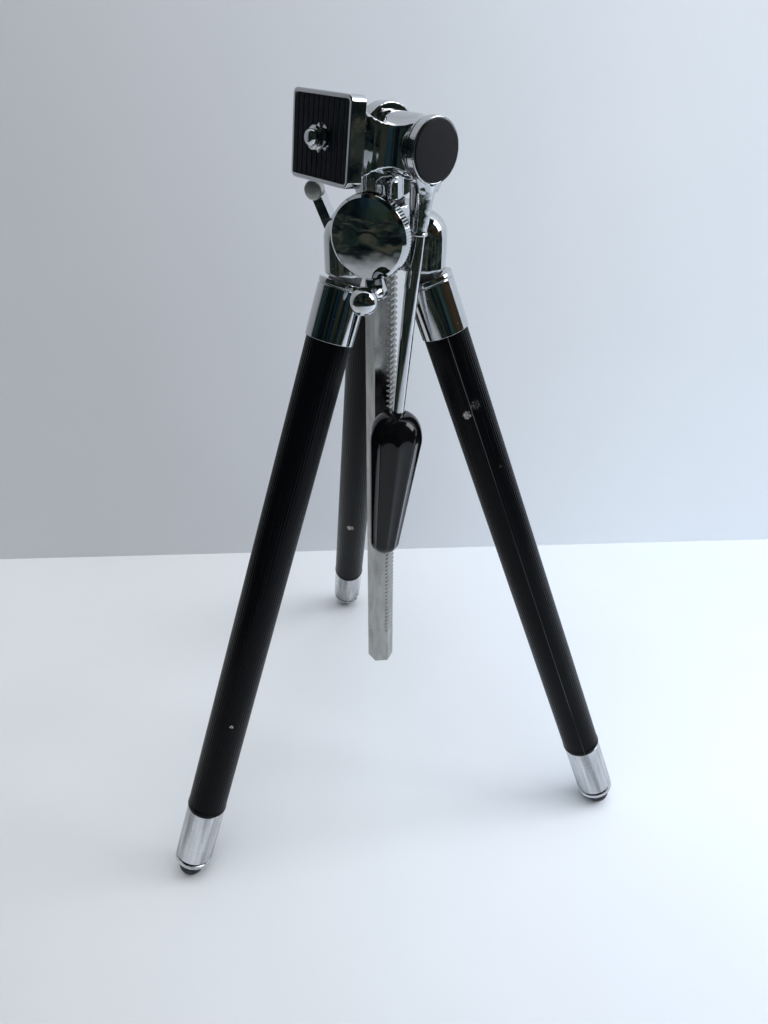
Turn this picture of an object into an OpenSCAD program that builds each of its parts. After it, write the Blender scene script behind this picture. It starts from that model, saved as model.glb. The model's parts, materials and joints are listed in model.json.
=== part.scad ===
// Compact table tripod with a geared centre column and a clamp-handle camera head.
// Millimetres, +Z up. The origin is on the floor, under the axis of the column.

/* [Legs] */
// Outer diameter of each black leg tube
leg_d = 14.4; // [13:0.1:14.8]
// Length of each black leg tube that shows below its ferrule
tube_l = 184.5; // [120:0.5:260]
// Angle between an open leg and the vertical
splay = 21.5; // [16:0.5:28]
// Distance from the column axis to each leg's hinge pin
hinge_r = 12.8; // [12.7:0.1:14]
// Wall thickness of the chrome ferrule around the top of a leg
ferrule_wall = 0.5; // [0.4:0.05:0.8]
// Length of the ferrule
ferrule_l = 18; // [14:0.2:26]
// Wall thickness of the leg tubes
leg_wall = 0.6; // [0.5:0.05:0.8]
// Diameter of a leg's hinge pin
hinge_pin_d = 3.2; // [2.4:0.1:3.6]
// Width of the knuckle that turns in the housing
knuckle_w = 7; // [5:0.1:8]

/* [Feet] */
// Length of the aluminium sleeve of each foot
sleeve_l = 24; // [16:0.5:32]
// Step from the surface of the leg tube in to the surface of the foot sleeve
sleeve_step = 0.1; // [0:0.05:0.4]
// Height of the knurled foot ring
foot_ring_h = 3.6; // [2.4:0.1:6]
// Diameter of the rubber foot tip
tip_d = 9.6; // [8:0.1:12]
// Length of the rubber tip below its ring, to the centre of its dome
tip_l = 0.8; // [0.4:0.1:4]

/* [Column] */
// Width across the flats of the hexagonal column
column_af = 9; // [8:0.1:9.4]
// Length of the column below the top of the housing
column_drop = 186; // [100:0.1:200]
// Length at the lower end of the column that has no teeth
column_plain_l = 14.5; // [8:0.5:30]
// Running clearance of the column in its guide, on each flat
column_gap = 0.15; // [0.1:0.01:0.3]

/* [Gear] */
// Module of the rack and the pinion
gear_m = 0.6; // [0.5:0.05:0.7]
// Teeth of the pinion
pinion_teeth = 9; // [9:1:10]
// Direction in which the crank wheel faces, seen from above
gear_deg = -125; // [-126:1:-120]
// Height of the pinion's axis above the hinge pins
gear_rise = 11.5; // [11.2:0.1:11.7]
// Diameter of the pinion shaft
shaft_d = 3.9; // [3:0.1:4]
// Diameter of the crank wheel over its knurl
wheel_d = 23.2; // [18:0.2:24]
// Width of the crank wheel's knurled rim
wheel_w = 4.2; // [3:0.1:6]
// Distance from the column axis to the front of the crank wheel
wheel_front = 25.5; // [25:0.1:28]
// Ridges around the crank wheel's rim
wheel_ridges = 84; // [48:2:96]
// Diameter of the ball at the end of the crank knob
ball_d = 7.8; // [6:0.1:8.4]

/* [Housing] */
// Diameter of each rounded leg shoulder
lobe_d = 14.4; // [14:0.1:15]
// Diameter of the middle of the housing
hub_d = 19.2; // [18:0.2:20]
// Height of the housing's top above the hinge pins
housing_rise = 15.6; // [15.5:0.1:17]
// Depth of the housing's lower edge below the hinge pins
housing_drop = 2.7; // [2.6:0.1:3]

/* [Lock] */
// Distance from the column axis to the lock bolt
lock_off = 13; // [12.6:0.1:13.4]
// Length of the lock lever between its bolt and its finger pad
lever_l = 16.5; // [12:0.5:18]
// Diameter of the lock bolt
lock_bolt_d = 3; // [2:0.1:3.4]

/* [Head] */
// Height of the tilt axle above the top of the housing
tilt_rise = 16.5; // [16.3:0.1:20]
// Direction of the tilt axle, seen from above
tilt_deg = -60; // [-61:1:-59]
// Angle by which the camera plate leans back from facing sideways
lean = 6.6; // [5.6:0.1:7.4]
// Diameter of the tilt axle
axle_d = 7; // [5:0.1:8]
// Diameter of the round ear that carries the tilt axle
ear_d = 20.8; // [19:0.2:21]
// Thickness of the ear
ear_w = 4.6; // [3:0.1:4.8]
// Diameter of the pan post
post_d = 12.5; // [11:0.1:13]

/* [Camera plate] */
// Width of the plate along the tilt axle
plate_w = 25; // [24:0.2:26]
// Height of the plate
plate_h = 22.2; // [20:0.2:22.4]
// Depth of the plate's edge
plate_t = 5; // [4:0.1:6]
// Distance from the tilt axle to the face of the plate
plate_reach = 24; // [23.6:0.1:26]
// Width of the chrome rim around the rubber pad
rim_w = 1.1; // [0.8:0.1:2]
// Ribs on the rubber pad
pad_ribs = 10; // [6:1:14]
// Length of the camera screw that stands out of the pad
screw_out = 4.2; // [3:0.1:5.5]
// Diameter of the knurled knob of the camera screw
knob_d = 18.4; // [15:0.2:18.8]

/* [Handle] */
// Diameter of the handle's round hub
eye_d = 17.3; // [15:0.1:18]
// Distance from the column axis to the centre line of the handle
handle_off = 18.5; // [18.4:0.1:19]
// Distance from the tilt axle to the top of the grip
rod_l = 77; // [60:1:100]
// Length of the grip
grip_l = 53; // [40:1:60]
// Largest diameter of the grip
grip_d = 17.6; // [12:0.2:17.6]
// Diameter of the lower end of the grip
grip_end_d = 10.4; // [8:0.2:12]
// Flutes around the grip
grip_flutes = 10; // [6:1:14]

/* [Hidden] */
$fn = 72;
eps = 0.02;
// Radial clearance of a pin or shaft that turns in a hole
run_gap = 0.05;
// Gap between pieces that pass each other
side_gap = 0.3;

left_az = 210;
right_az = 330;
rear_az = 90;

// Stations down a leg, measured from its hinge pin
ferrule_top = 5.8;
ferrule_end = ferrule_top + ferrule_l;
tube_end = ferrule_end + tube_l;
sleeve_top = tube_end + side_gap;
sleeve_end = sleeve_top + sleeve_l;
ring_top = sleeve_end + 0.6;
ring_end = ring_top + foot_ring_h;
tip_mid = ring_end + tip_l;
hinge_z = tip_mid * cos(splay) + tip_d / 2;

// Leg tubes, one inside the other
leg_r = leg_d / 2;
ferrule_d = leg_d + 2 * ferrule_wall;
sleeve_d = leg_d - 2 * sleeve_step;
tube_step = 0.6;
collar_gap = 0.1;
ferrule_cap = 3;
tube_top = ferrule_top + ferrule_cap;
inner_r = leg_r - leg_wall - tube_step;
inner_top = ferrule_end + 18;
guide_l = 6;
lip_l = 3;
lip_r = leg_r + 0.3;
neck_r = 5.2;
sleeve_bore_l = 17;

// Housing
housing_top = hinge_z + housing_rise;
housing_low = hinge_z - housing_drop;
lobe_r = lobe_d / 2;
lobe_mid = 13.2;
lobe_sink = 1.2;
slot_w = knuckle_w + 0.4;
slot_in = hinge_r - 4;
slot_out = hinge_r + 5.9;
slot_rise = 4.2;
knuckle_r = 3.5;

// Gear
gear_z = hinge_z + gear_rise;
rack_add = 0.75 * gear_m;
rack_ded = 1.08 * gear_m;
pinion_add = 0.83 * gear_m;
backlash = 0.12;
pressure = 25;
rack_pitch = PI * gear_m;
pitch_r = gear_m * pinion_teeth / 2;
rack_line = column_af / 2 - rack_add;
pinion_off = rack_line + pitch_r;
pinion_w = 5;
pinion_tip_r = pitch_r + pinion_add;
cavity_r = pinion_tip_r + 0.25;
shaft_r = shaft_d / 2;
shaft_back = 6.6;
boss_r = 4.2;
boss_end = 14.4;
bush_l = 6;
wheel_r = wheel_d / 2;
wheel_back = wheel_front - wheel_w;
wheel_hub_r = 4;
wheel_bevel = 0.7;
knurl_deep = 0.3;
rim_r = wheel_r - knurl_deep - 0.1;
face_r = rim_r - 0.6;
shaft_in = 2;
lug_r = 2.6;
lug_arm = 2.3;
lug_x = 2.4;
lug_y = -14.9;
lug_w = 2.6;
stem_r = 1.2;
ball_out = 8;

// Column
column_top = housing_top + 0.3;
column_low = housing_top - column_drop;
spigot_r = 3;
spigot_l = 7.5;
washer_t = 0.7;

// Lock
ear_split = 0.8;
split_g = -3;
ear_front = 1;
lever_gap = 0.3;
lever_t = 4;
lever_w = 3.4;
lever_boss_r = 3.1;
pad_out = 0.8;
pad_r = 2.9;
lock_z = hinge_z + 3.1;
lever_az = 115.5;

// Head
tilt_z = housing_top + tilt_rise;
post_low = column_top + washer_t;
post_r = post_d / 2;
post_top = housing_top + 7.3;
post_round = 1.5;
ear_half = 9.6;
ear_corner = 3.6;
ear_right = 3.6;
ear_left = ear_right - ear_w;
axle_r = axle_d / 2;
cheek_r = 8.4;
cheek_end = 14.3;
cheek_back = -9.9;
plate_mid = 2.2;
plate_up = 0.5;
plate_back = plate_reach - plate_t;
slot_t = 3.7;
web_back = plate_back - slot_t;
web_t = 3.1;
waist = 6;
waist_cut_r = 20;
waist_at = 8.5;
hollow_r = 16;
hollow_deep = 1.6;
hollow_at = 11;
pad_t = 1.5;
corner_r = 1.2;
knob_t = 3.1;
screw_r = 3.175;
shank_r = 2.6;
thread_from = 0.7;
knob_wall = 2.9;

// Handle
eye_r = eye_d / 2;
eye_in = cheek_end + side_gap;
eye_out = 22.4;
cap_t = 1.5;
cap_r = 8;
socket_in = 5;
socket_r = handle_off - eye_in;
socket_end_r = 2.55;
socket_l = 22.4;
socket_lip = 0.8;
rod_in = 12;
rod_r = 2.3;
rod_end_r = 1.85;

// Puts a leg's pieces at its hinge: the leg hangs along -Z
module at_leg(az) {
    rotate([0, 0, az]) translate([hinge_r, 0, hinge_z]) rotate([0, -splay, 0]) children();
}

// Gear frame: X is away from the column across the rack, Y is up, Z is out through the crank wheel
module at_gear() {
    translate([0, 0, gear_z]) rotate([90, 0, gear_deg + 90]) children();
}

// Head frame: X is along the tilt axle towards the handle, Y is up, Z is out of the camera plate
module at_head(back = lean) {
    translate([0, 0, tilt_z]) rotate([90, 0, tilt_deg]) rotate([-back, 0, 0]) children();
}

// Cylinder along the tilt axle, from one distance to another
module along_axle(from, to, r) {
    translate([from, 0, 0]) rotate([0, 90, 0]) cylinder(r = r, h = to - from);
}

// Hexagonal bar with one pair of flats facing the pinion
module hexagon(af, low, high) {
    translate([0, 0, low]) rotate([0, 0, gear_deg + 60])
        cylinder(r = af / sqrt(3), h = high - low, $fn = 6);
}

function involute(a) = tan(a) - a * PI / 180;
function flank(r, base, half) =
    (half + involute(pressure) - involute(acos(min(1, base / r)))) * 180 / PI;

// Outline of the pinion, with one gap facing the rack
module pinion_outline() {
    base = pitch_r * cos(pressure);
    root = pitch_r - rack_ded;
    half = (rack_pitch / 2 - backlash) / 2 / pitch_r;
    steps = [0, 0.25, 0.5, 0.75, 1];
    radii = [for (s = steps) base + s * (pinion_tip_r - base)];
    foot = flank(base, base, half);
    polygon([for (k = [0 : pinion_teeth - 1]) let (mid = 180 + (k + 0.5) * 360 / pinion_teeth)
        each concat(
            [root * [cos(mid - foot), sin(mid - foot)]],
            [for (r = radii) r * [cos(mid - flank(r, base, half)), sin(mid - flank(r, base, half))]],
            [for (i = [4 : -1 : 0]) let (r = radii[i])
                r * [cos(mid + flank(r, base, half)), sin(mid + flank(r, base, half))]],
            [root * [cos(mid + foot), sin(mid + foot)]])]);
}

// Space between the rack's teeth, as one comb outside the column's flat
module rack_gaps() {
    clear = 0.25;
    out = column_af / 2 + clear;
    root = rack_line - rack_ded;
    open = rack_pitch / 4 + backlash / 4;
    wide = open + (rack_add + clear) * tan(pressure);
    deep = open - rack_ded * tan(pressure);
    first = ceil((column_low + column_plain_l - gear_z) / rack_pitch);
    last = floor((column_top - gear_z) / rack_pitch) - 1;
    ends = 2;
    polygon(concat(
        [[out + ends, (first + 0.5) * rack_pitch - wide]],
        [for (k = [first : last]) let (y = (k + 0.5) * rack_pitch)
            each [[out, y - wide], [root, y - deep], [root, y + deep], [out, y + wide]]],
        [[out + ends, (last + 0.5) * rack_pitch + wide]]));
}

// Straight-knurled disc: a ring of small ridges
module knurled(r, h, ridges, depth) {
    linear_extrude(h) polygon([for (k = [0 : 2 * ridges - 1])
        let (a = k * 180 / ridges, e = k % 2 == 0 ? r : r - depth) e * [cos(a), sin(a)]]);
}

module housing() {
    color("silver") difference() {
        union() {
            translate([0, 0, housing_low]) cylinder(d = hub_d, h = housing_top - housing_low);
            at_gear() translate([pinion_off, 0, -shaft_back - 1.4])
                cylinder(r = boss_r, h = boss_end + shaft_back + 1.4);
            lock_ears();
        }
        hexagon(column_af + 2 * column_gap, housing_low - 1, housing_top + 1);
        translate([0, 0, housing_top]) cylinder(d = hub_d + 3, h = boss_r);
        at_gear() translate([pinion_off, 0, 0]) {
            translate([0, 0, -pinion_w / 2 - 0.4]) cylinder(r = cavity_r, h = boss_end + 10);
            translate([0, 0, -shaft_back - 0.3]) cylinder(r = shaft_r + run_gap, h = shaft_back);
        }
        knuckle_slots();
        hinge_holes();
        lock_hole();
    }
}

// Slots under the shoulders, in which the legs' knuckles swing
module knuckle_slots() {
    for (az = [left_az, right_az, rear_az]) rotate([0, 0, az])
        translate([slot_in, -slot_w / 2, housing_low - 1])
            cube([slot_out - slot_in, slot_w, housing_drop + slot_rise + 1]);
}

// Three round-topped shoulders of the housing, one over each leg
module shoulders() {
    color("silver") difference() {
        for (az = [left_az, right_az, rear_az]) rotate([0, 0, az]) translate([lobe_mid, 0, 0]) {
            translate([0, 0, housing_low])
                cylinder(r = lobe_r, h = housing_rise + housing_drop - lobe_r - lobe_sink);
            translate([0, 0, housing_top - lobe_r - lobe_sink]) sphere(r = lobe_r);
        }
        translate([0, 0, housing_low - 1]) cylinder(d = hub_d, h = housing_top - housing_low + 2);
        at_gear() translate([pinion_off, 0, -shaft_back - 1.4])
            cylinder(r = boss_r, h = boss_end + shaft_back + 1.4);
        lock_ears();
        knuckle_slots();
        hinge_holes();
        lock_hole();
    }
}

module hinge_holes() {
    for (az = [left_az, right_az, rear_az]) rotate([0, 0, az]) translate([hinge_r, 0, hinge_z])
        rotate([90, 0, 0]) cylinder(d = hinge_pin_d, h = 2 * lobe_r - 1, center = true);
}

// Two ears beside the column guide, which the lock bolt draws together
module lock_ears() {
    at_gear() translate([-lock_off, lock_z - gear_z, split_g - 4.4])
        cylinder(d = lock_bolt_d + 4, h = ear_front - split_g + 4.4);
    at_gear() translate([-lock_off, lock_z - gear_z - (lock_bolt_d + 4) / 2, split_g - 4.4])
        cube([lock_off - 6, lock_bolt_d + 4, ear_front - split_g + 4.4]);
}

module lock_hole() {
    at_gear() translate([-lock_off, lock_z - gear_z, split_g - 3.4])
        cylinder(r = lock_bolt_d / 2 + run_gap, h = 20);
    at_gear() translate([-lock_off - 6, housing_low - gear_z - 1, split_g - ear_split / 2])
        cube([lock_off + 6 - column_af / 2, housing_top - housing_low + 2, ear_split]);
}

// Three pins, one across each shoulder
module hinge_pins() {
    color("gray") for (az = [left_az, right_az, rear_az])
        rotate([0, 0, az]) translate([hinge_r, 0, hinge_z]) rotate([90, 0, 0])
            cylinder(d = hinge_pin_d, h = 2 * lobe_r - 1.2, center = true);
}

module pinion_bush() {
    color("darkgoldenrod") at_gear() translate([pinion_off, 0, boss_end - bush_l]) difference() {
        cylinder(r = cavity_r, h = bush_l);
        translate([0, 0, -1]) cylinder(r = shaft_r + run_gap, h = bush_l + 2);
    }
}

module column() {
    color("lightgray") {
        difference() {
            hexagon(column_af, column_low, column_top);
            at_gear() linear_extrude(column_af + 4, center = true) rack_gaps();
        }
        translate([0, 0, column_top - spigot_r]) cylinder(r = spigot_r, h = spigot_r + spigot_l);
    }
}

module pan_washer() {
    color("dimgray") translate([0, 0, column_top]) difference() {
        cylinder(r = spigot_r + 4, h = washer_t);
        translate([0, 0, -1]) cylinder(r = spigot_r, h = washer_t + 2);
    }
}

module pinion() {
    color("lightgray") at_gear() translate([pinion_off, 0, 0]) {
        linear_extrude(pinion_w, center = true) pinion_outline();
        translate([0, 0, -shaft_back]) cylinder(r = shaft_r, h = wheel_back + shaft_in + shaft_back);
    }
}

module crank_wheel() {
    color("silver") at_gear() translate([pinion_off, 0, 0]) difference() {
        union() {
            rotate_extrude() polygon([
                [0, boss_end + side_gap], [wheel_hub_r, boss_end + side_gap],
                [wheel_hub_r, wheel_back], [rim_r - 0.4, wheel_back],
                [rim_r, wheel_back + 0.4], [rim_r, wheel_front - wheel_bevel],
                [face_r, wheel_front], [0.7 * face_r, wheel_front + 0.4],
                [0.35 * face_r, wheel_front + 0.65], [0, wheel_front + 0.65]]);
            translate([0, 0, wheel_back + 0.5])
                knurled(wheel_r, wheel_w - 0.5 - wheel_bevel, wheel_ridges, knurl_deep);
            crank_lug();
        }
        translate([0, 0, boss_end]) cylinder(r = shaft_r, h = wheel_back + shaft_in - boss_end);
        translate([lug_x, lug_y, wheel_back]) cylinder(r = stem_r, h = wheel_w + 2);
    }
}

// Rounded lug beyond the rim, which carries the crank knob
module crank_lug() {
    lug_az = atan2(lug_y, lug_x);
    lug_dist = norm([lug_x, lug_y]);
    translate([0, 0, wheel_back + 0.9]) {
        translate([lug_x, lug_y, 0]) cylinder(r = lug_r, h = lug_w);
        rotate([0, 0, lug_az]) translate([wheel_r - 3, -lug_arm, 0])
            cube([lug_dist - wheel_r + 3, 2 * lug_arm, lug_w]);
    }
}

module crank_knob() {
    lug_front = wheel_back + 0.9 + lug_w;
    color("silver") at_gear() translate([pinion_off + lug_x, lug_y, 0]) {
        translate([0, 0, lug_front - lug_w]) cylinder(r = stem_r, h = lug_w + ball_out);
        translate([0, 0, lug_front]) cylinder(r1 = 2.3, r2 = 1.5, h = 3.4);
        translate([0, 0, lug_front + ball_out]) sphere(d = ball_d);
    }
}

module lock_bolt() {
    color("gray") at_gear() translate([-lock_off, lock_z - gear_z, split_g - 3.2])
        cylinder(d = lock_bolt_d, h = ear_front + lever_gap + lever_t - split_g + 3.2);
}

module lock_lever() {
    color("silver") at_gear() translate([-lock_off, lock_z - gear_z, ear_front + lever_gap])
        rotate([0, 0, lever_az]) difference() {
            union() {
                cylinder(r = lever_boss_r, h = lever_t);
                translate([0, -lever_w / 2, 0]) cube([lever_l, lever_w, lever_t]);
                translate([lever_l, 0, 0]) cylinder(r = pad_r, h = lever_t + pad_out);
            }
            translate([0, 0, -1]) cylinder(d = lock_bolt_d, h = lever_t + 2);
        }
}

module pan_base() {
    color("silver") difference() {
        union() {
            translate([0, 0, post_low]) rotate([0, 0, tilt_deg]) rotate_extrude() polygon(concat(
                [[0, 0], [post_r, 0]],
                [for (a = [0 : 15 : 90]) [post_r - post_round * (1 - cos(a)),
                    post_top - post_low - post_round * (1 - sin(a))]],
                [[0, post_top - post_low]]));
            at_head(0) {
                along_axle(ear_left, ear_right, ear_d / 2);
                ear_block(post_low - tilt_z + ear_corner, 0, ear_half);
                ear_block(post_low - tilt_z, 0, ear_half - ear_corner);
                for (z = [-1, 1]) translate([0, post_low - tilt_z + ear_corner, z * (ear_half - ear_corner)])
                    along_axle(ear_left, ear_right, ear_corner);
            }
        }
        translate([0, 0, post_low - 1]) cylinder(r = spigot_r + run_gap, h = spigot_l + 1);
        at_head(0) along_axle(ear_left - 1, ear_right + 1, axle_r);
    }
}

// Slab as thick as the ear, from one height to another
module ear_block(low, high, half) {
    translate([ear_left, low, -half]) cube([ear_w, high - low, 2 * half]);
}

module tilt_axle() {
    color("gray") at_head(0) along_axle(cheek_back + 0.6, eye_out - cap_t - 0.3, axle_r);
}

module plate_casting() {
    color("silver") at_head() difference() {
        union() {
            plate_tray();
            translate([plate_mid - plate_w / 2, -cheek_r, web_back - web_t])
                cube([plate_w, 2 * cheek_r, plate_back - web_back + web_t]);
            for (side = [[ear_right + side_gap, cheek_end], [cheek_back, ear_left - side_gap]]) {
                along_axle(side[0], side[1], cheek_r);
                translate([side[0], -cheek_r, 0]) cube([side[1] - side[0], 2 * cheek_r, web_back]);
            }
        }
        // Waist of the neck, above and below
        for (s = [-1, 1]) translate([cheek_back - 1, s * (waist + waist_cut_r), waist_at])
            rotate([0, 90, 0]) cylinder(r = waist_cut_r, h = plate_w + 3);
        // Hollow side of the neck
        translate([cheek_end + hollow_r - hollow_deep, -20, hollow_at])
            rotate([-90, 0, 0]) cylinder(r = hollow_r, h = 40);
        // Slot for the camera screw's knob
        translate([plate_mid - plate_w / 2 + knob_wall, -20, web_back])
            cube([plate_w - 2 * knob_wall, 40, slot_t]);
        translate([plate_mid, plate_up, web_back - web_t - 20]) cylinder(r = screw_r + run_gap, h = 60);
        along_axle(cheek_back - 1, cheek_end + 1, axle_r + run_gap);
    }
}

// Square tray with rounded corners and a shallow recess for the pad
module plate_tray() {
    w = plate_w / 2 - corner_r;
    h = plate_h / 2 - corner_r;
    difference() {
        translate([plate_mid, plate_up, plate_back]) union() {
            translate([-w, -plate_h / 2, 0]) cube([2 * w, plate_h, plate_t]);
            translate([-plate_w / 2, -h, 0]) cube([plate_w, 2 * h, plate_t]);
            for (x = [-w, w], y = [-h, h]) translate([x, y, 0]) cylinder(r = corner_r, h = plate_t);
        }
        translate([plate_mid - plate_w / 2 + rim_w, plate_up - plate_h / 2 + rim_w, plate_reach - pad_t])
            cube([plate_w - 2 * rim_w, plate_h - 2 * rim_w, pad_t + 1]);
    }
}

module plate_pad() {
    w = plate_w - 2 * rim_w - 0.1;
    h = plate_h - 2 * rim_w - 0.1;
    pitch = w / (pad_ribs + 0.5);
    groove = 0.5;
    color([0.1, 0.1, 0.11]) at_head() translate([plate_mid, plate_up, plate_reach - pad_t]) difference() {
        translate([-w / 2, -h / 2, 0]) cube([w, h, pad_t - 0.1]);
        for (k = [1 : pad_ribs]) translate([-w / 2 + k * pitch - 0.4 * pitch, -h, pad_t - 0.1 - groove])
            cube([0.35 * pitch, 2 * h, 1]);
        translate([0, 0, -1]) cylinder(r = screw_r + 0.5, h = pad_t + 2);
    }
}

// Camera screw: its shank is thinner than its thread, so the clip can hold it in the plate
module camera_screw() {
    color("silver") at_head() translate([plate_mid, plate_up, 0]) {
        translate([0, 0, web_back + 0.3])
            cylinder(r = shank_r, h = plate_reach + thread_from - web_back - 0.3);
        translate([0, 0, plate_reach + thread_from])
            cylinder(r = screw_r, h = screw_out - thread_from);
    }
}

module screw_knob() {
    color("silver") at_head() translate([plate_mid, plate_up, web_back + 0.3]) difference() {
        knurled(knob_d / 2, knob_t, 60, 0.3);
        translate([0, 0, -1]) cylinder(r = shank_r, h = knob_t + 2);
    }
}

// Pointed retaining clip that keeps the screw in the plate
module screw_clip() {
    point = 4.7;
    color("silver") at_head() translate([plate_mid, plate_up, plate_reach + 0.1]) difference() {
        linear_extrude(0.5) polygon([[0, point], [-3.9, 0.6], [-3.9, -0.6], [0, -point], [3.9, -0.6], [3.9, 0.6]]);
        translate([0, 0, -1]) cylinder(r = shank_r + run_gap, h = 3);
    }
}

module handle_hub() {
    color("silver") at_head() difference() {
        union() {
            along_axle(eye_in, eye_out, eye_r);
            translate([handle_off, 0, 0]) rotate([90, 0, 0]) {
                translate([0, 0, socket_in])
                    cylinder(r1 = socket_r, r2 = socket_end_r, h = socket_l - socket_lip - socket_in);
                translate([0, 0, socket_l - socket_lip]) cylinder(r = socket_end_r + 0.35, h = socket_lip);
            }
        }
        along_axle(eye_in - 1, eye_out - cap_t - 0.1, axle_r + run_gap);
        along_axle(eye_out - cap_t, eye_out + 1, cap_r);
        translate([handle_off, 0, 0]) rotate([90, 0, 0]) translate([0, 0, rod_in])
            cylinder(r = rod_r, h = socket_l);
    }
}

module hub_cap() {
    color([0.12, 0.12, 0.13]) at_head() along_axle(eye_out - cap_t, eye_out + 0.3, cap_r - 0.05);
}

module handle_rod() {
    taper_from = socket_l;
    color("silver") at_head() translate([handle_off, 0, 0]) rotate([90, 0, 0]) {
        translate([0, 0, rod_in]) cylinder(r = rod_r, h = taper_from - rod_in);
        translate([0, 0, taper_from])
            cylinder(r1 = rod_r, r2 = rod_end_r, h = rod_l + 20 - taper_from);
    }
}

module handle_grip() {
    shoulder = 9;
    end_round = 5;
    flute_r = 5;
    top_r = grip_d / 2;
    end_r = grip_end_d / 2;
    body_l = grip_l - shoulder - end_round;
    slope = atan((top_r - end_r) / body_l);
    color([0.05, 0.05, 0.06]) at_head() translate([handle_off, 0, 0]) rotate([90, 0, 0])
        translate([0, 0, rod_l]) difference() {
            rotate_extrude() polygon(concat(
                [[0, 0], [2.6, 0]],
                [for (a = [0 : 15 : 90])
                    [2.6 + (top_r - 2.6) * sin(a), shoulder * (1 - cos(a))]],
                [for (a = [0 : 15 : 90])
                    [end_r * cos(a), shoulder + body_l + end_round * sin(a)]]));
            translate([0, 0, -1]) cylinder(r = rod_end_r + 0.15, h = 21);
            for (k = [0 : grip_flutes - 1]) rotate([0, 0, k * 360 / grip_flutes])
                translate([top_r + flute_r - 0.55, 0, shoulder - 2]) rotate([0, -slope, 0])
                    cylinder(r = flute_r, h = grip_l - 8);
        }
}

module knuckle(az) {
    color([0.35, 0.35, 0.36]) at_leg(az) difference() {
        union() {
            rotate([90, 0, 0]) cylinder(r = knuckle_r, h = knuckle_w, center = true);
            translate([-knuckle_r, -knuckle_w / 2, -tube_top - 1])
                cube([2 * knuckle_r, knuckle_w, tube_top + 1]);
            translate([0, 0, -tube_top - 6]) cylinder(r = leg_r - leg_wall, h = 6 - eps);
        }
        rotate([90, 0, 0]) cylinder(r = hinge_pin_d / 2 + run_gap, h = knuckle_w + 2, center = true);
    }
}

module ferrule(az) {
    groove = 0.3;
    color("silver") at_leg(az) difference() {
        translate([0, 0, -ferrule_end]) cylinder(d = ferrule_d, h = ferrule_l);
        translate([0, 0, -ferrule_end - 1]) cylinder(r = leg_r, h = ferrule_end - tube_top + 1);
        translate([-knuckle_r, -knuckle_w / 2, -tube_top - 1]) cube([2 * knuckle_r, knuckle_w, 6]);
        translate([0, 0, -ferrule_top - 1.6]) difference() {
            cylinder(d = ferrule_d + 2, h = 0.4);
            translate([0, 0, -1]) cylinder(r = ferrule_d / 2 - groove, h = 3);
        }
    }
}

module leg_tube(az) {
    color([0.08, 0.08, 0.09]) at_leg(az) difference() {
        union() {
            translate([0, 0, -tube_end]) cylinder(r = leg_r, h = tube_end - tube_top);
            translate([0, 0, -tube_end]) cylinder(r = lip_r, h = lip_l);
        }
        translate([0, 0, -tube_end + lip_l]) cylinder(r = leg_r - leg_wall, h = tube_end);
        translate([0, 0, -tube_end - 1]) cylinder(r = inner_r + collar_gap, h = lip_l + 2);
    }
}

module inner_tube(az) {
    color("lightgray") at_leg(az) difference() {
        union() {
            translate([0, 0, -sleeve_top - sleeve_bore_l])
                cylinder(r = inner_r, h = sleeve_top + sleeve_bore_l - inner_top);
            translate([0, 0, -inner_top - guide_l])
                cylinder(r = leg_r - leg_wall - collar_gap, h = guide_l);
        }
        translate([0, 0, -sleeve_top - sleeve_bore_l - 1])
            cylinder(r = inner_r - leg_wall, h = sleeve_top + sleeve_bore_l);
    }
}

module foot_sleeve(az) {
    edge = 0.5;
    color("lightgray") at_leg(az) difference() {
        union() {
            translate([0, 0, -sleeve_end + edge]) cylinder(d = sleeve_d, h = sleeve_l - edge);
            translate([0, 0, -sleeve_end]) cylinder(d1 = sleeve_d - 2 * edge, d2 = sleeve_d, h = edge);
            translate([0, 0, -ring_top]) cylinder(r = neck_r, h = ring_top - sleeve_end + eps);
        }
        translate([0, 0, -sleeve_top - sleeve_bore_l]) cylinder(r = inner_r, h = sleeve_l);
    }
}

module foot_ring(az) {
    flat = 0.45 * foot_ring_h;
    color("silver") at_leg(az) difference() {
        union() {
            translate([0, 0, -ring_top - flat]) knurled(sleeve_d / 2 - 0.1, flat, 48, 0.3);
            translate([0, 0, -ring_end])
                cylinder(r1 = tip_d / 2 + 0.3, r2 = sleeve_d / 2 - 0.5, h = foot_ring_h - flat);
        }
        translate([0, 0, -ring_end - 1]) cylinder(r = tip_d / 2 - 1.4, h = foot_ring_h + 2);
    }
}

module foot_tip(az) {
    color([0.1, 0.1, 0.1]) at_leg(az) {
        translate([0, 0, -ring_end]) cylinder(r = tip_d / 2 - 1.4, h = foot_ring_h);
        translate([0, 0, -tip_mid]) cylinder(d = tip_d, h = tip_l);
        translate([0, 0, -tip_mid]) intersection() {
            sphere(d = tip_d);
            translate([0, 0, -tip_d]) cylinder(d = 2 * tip_d, h = tip_d);
        }
    }
}

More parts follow.
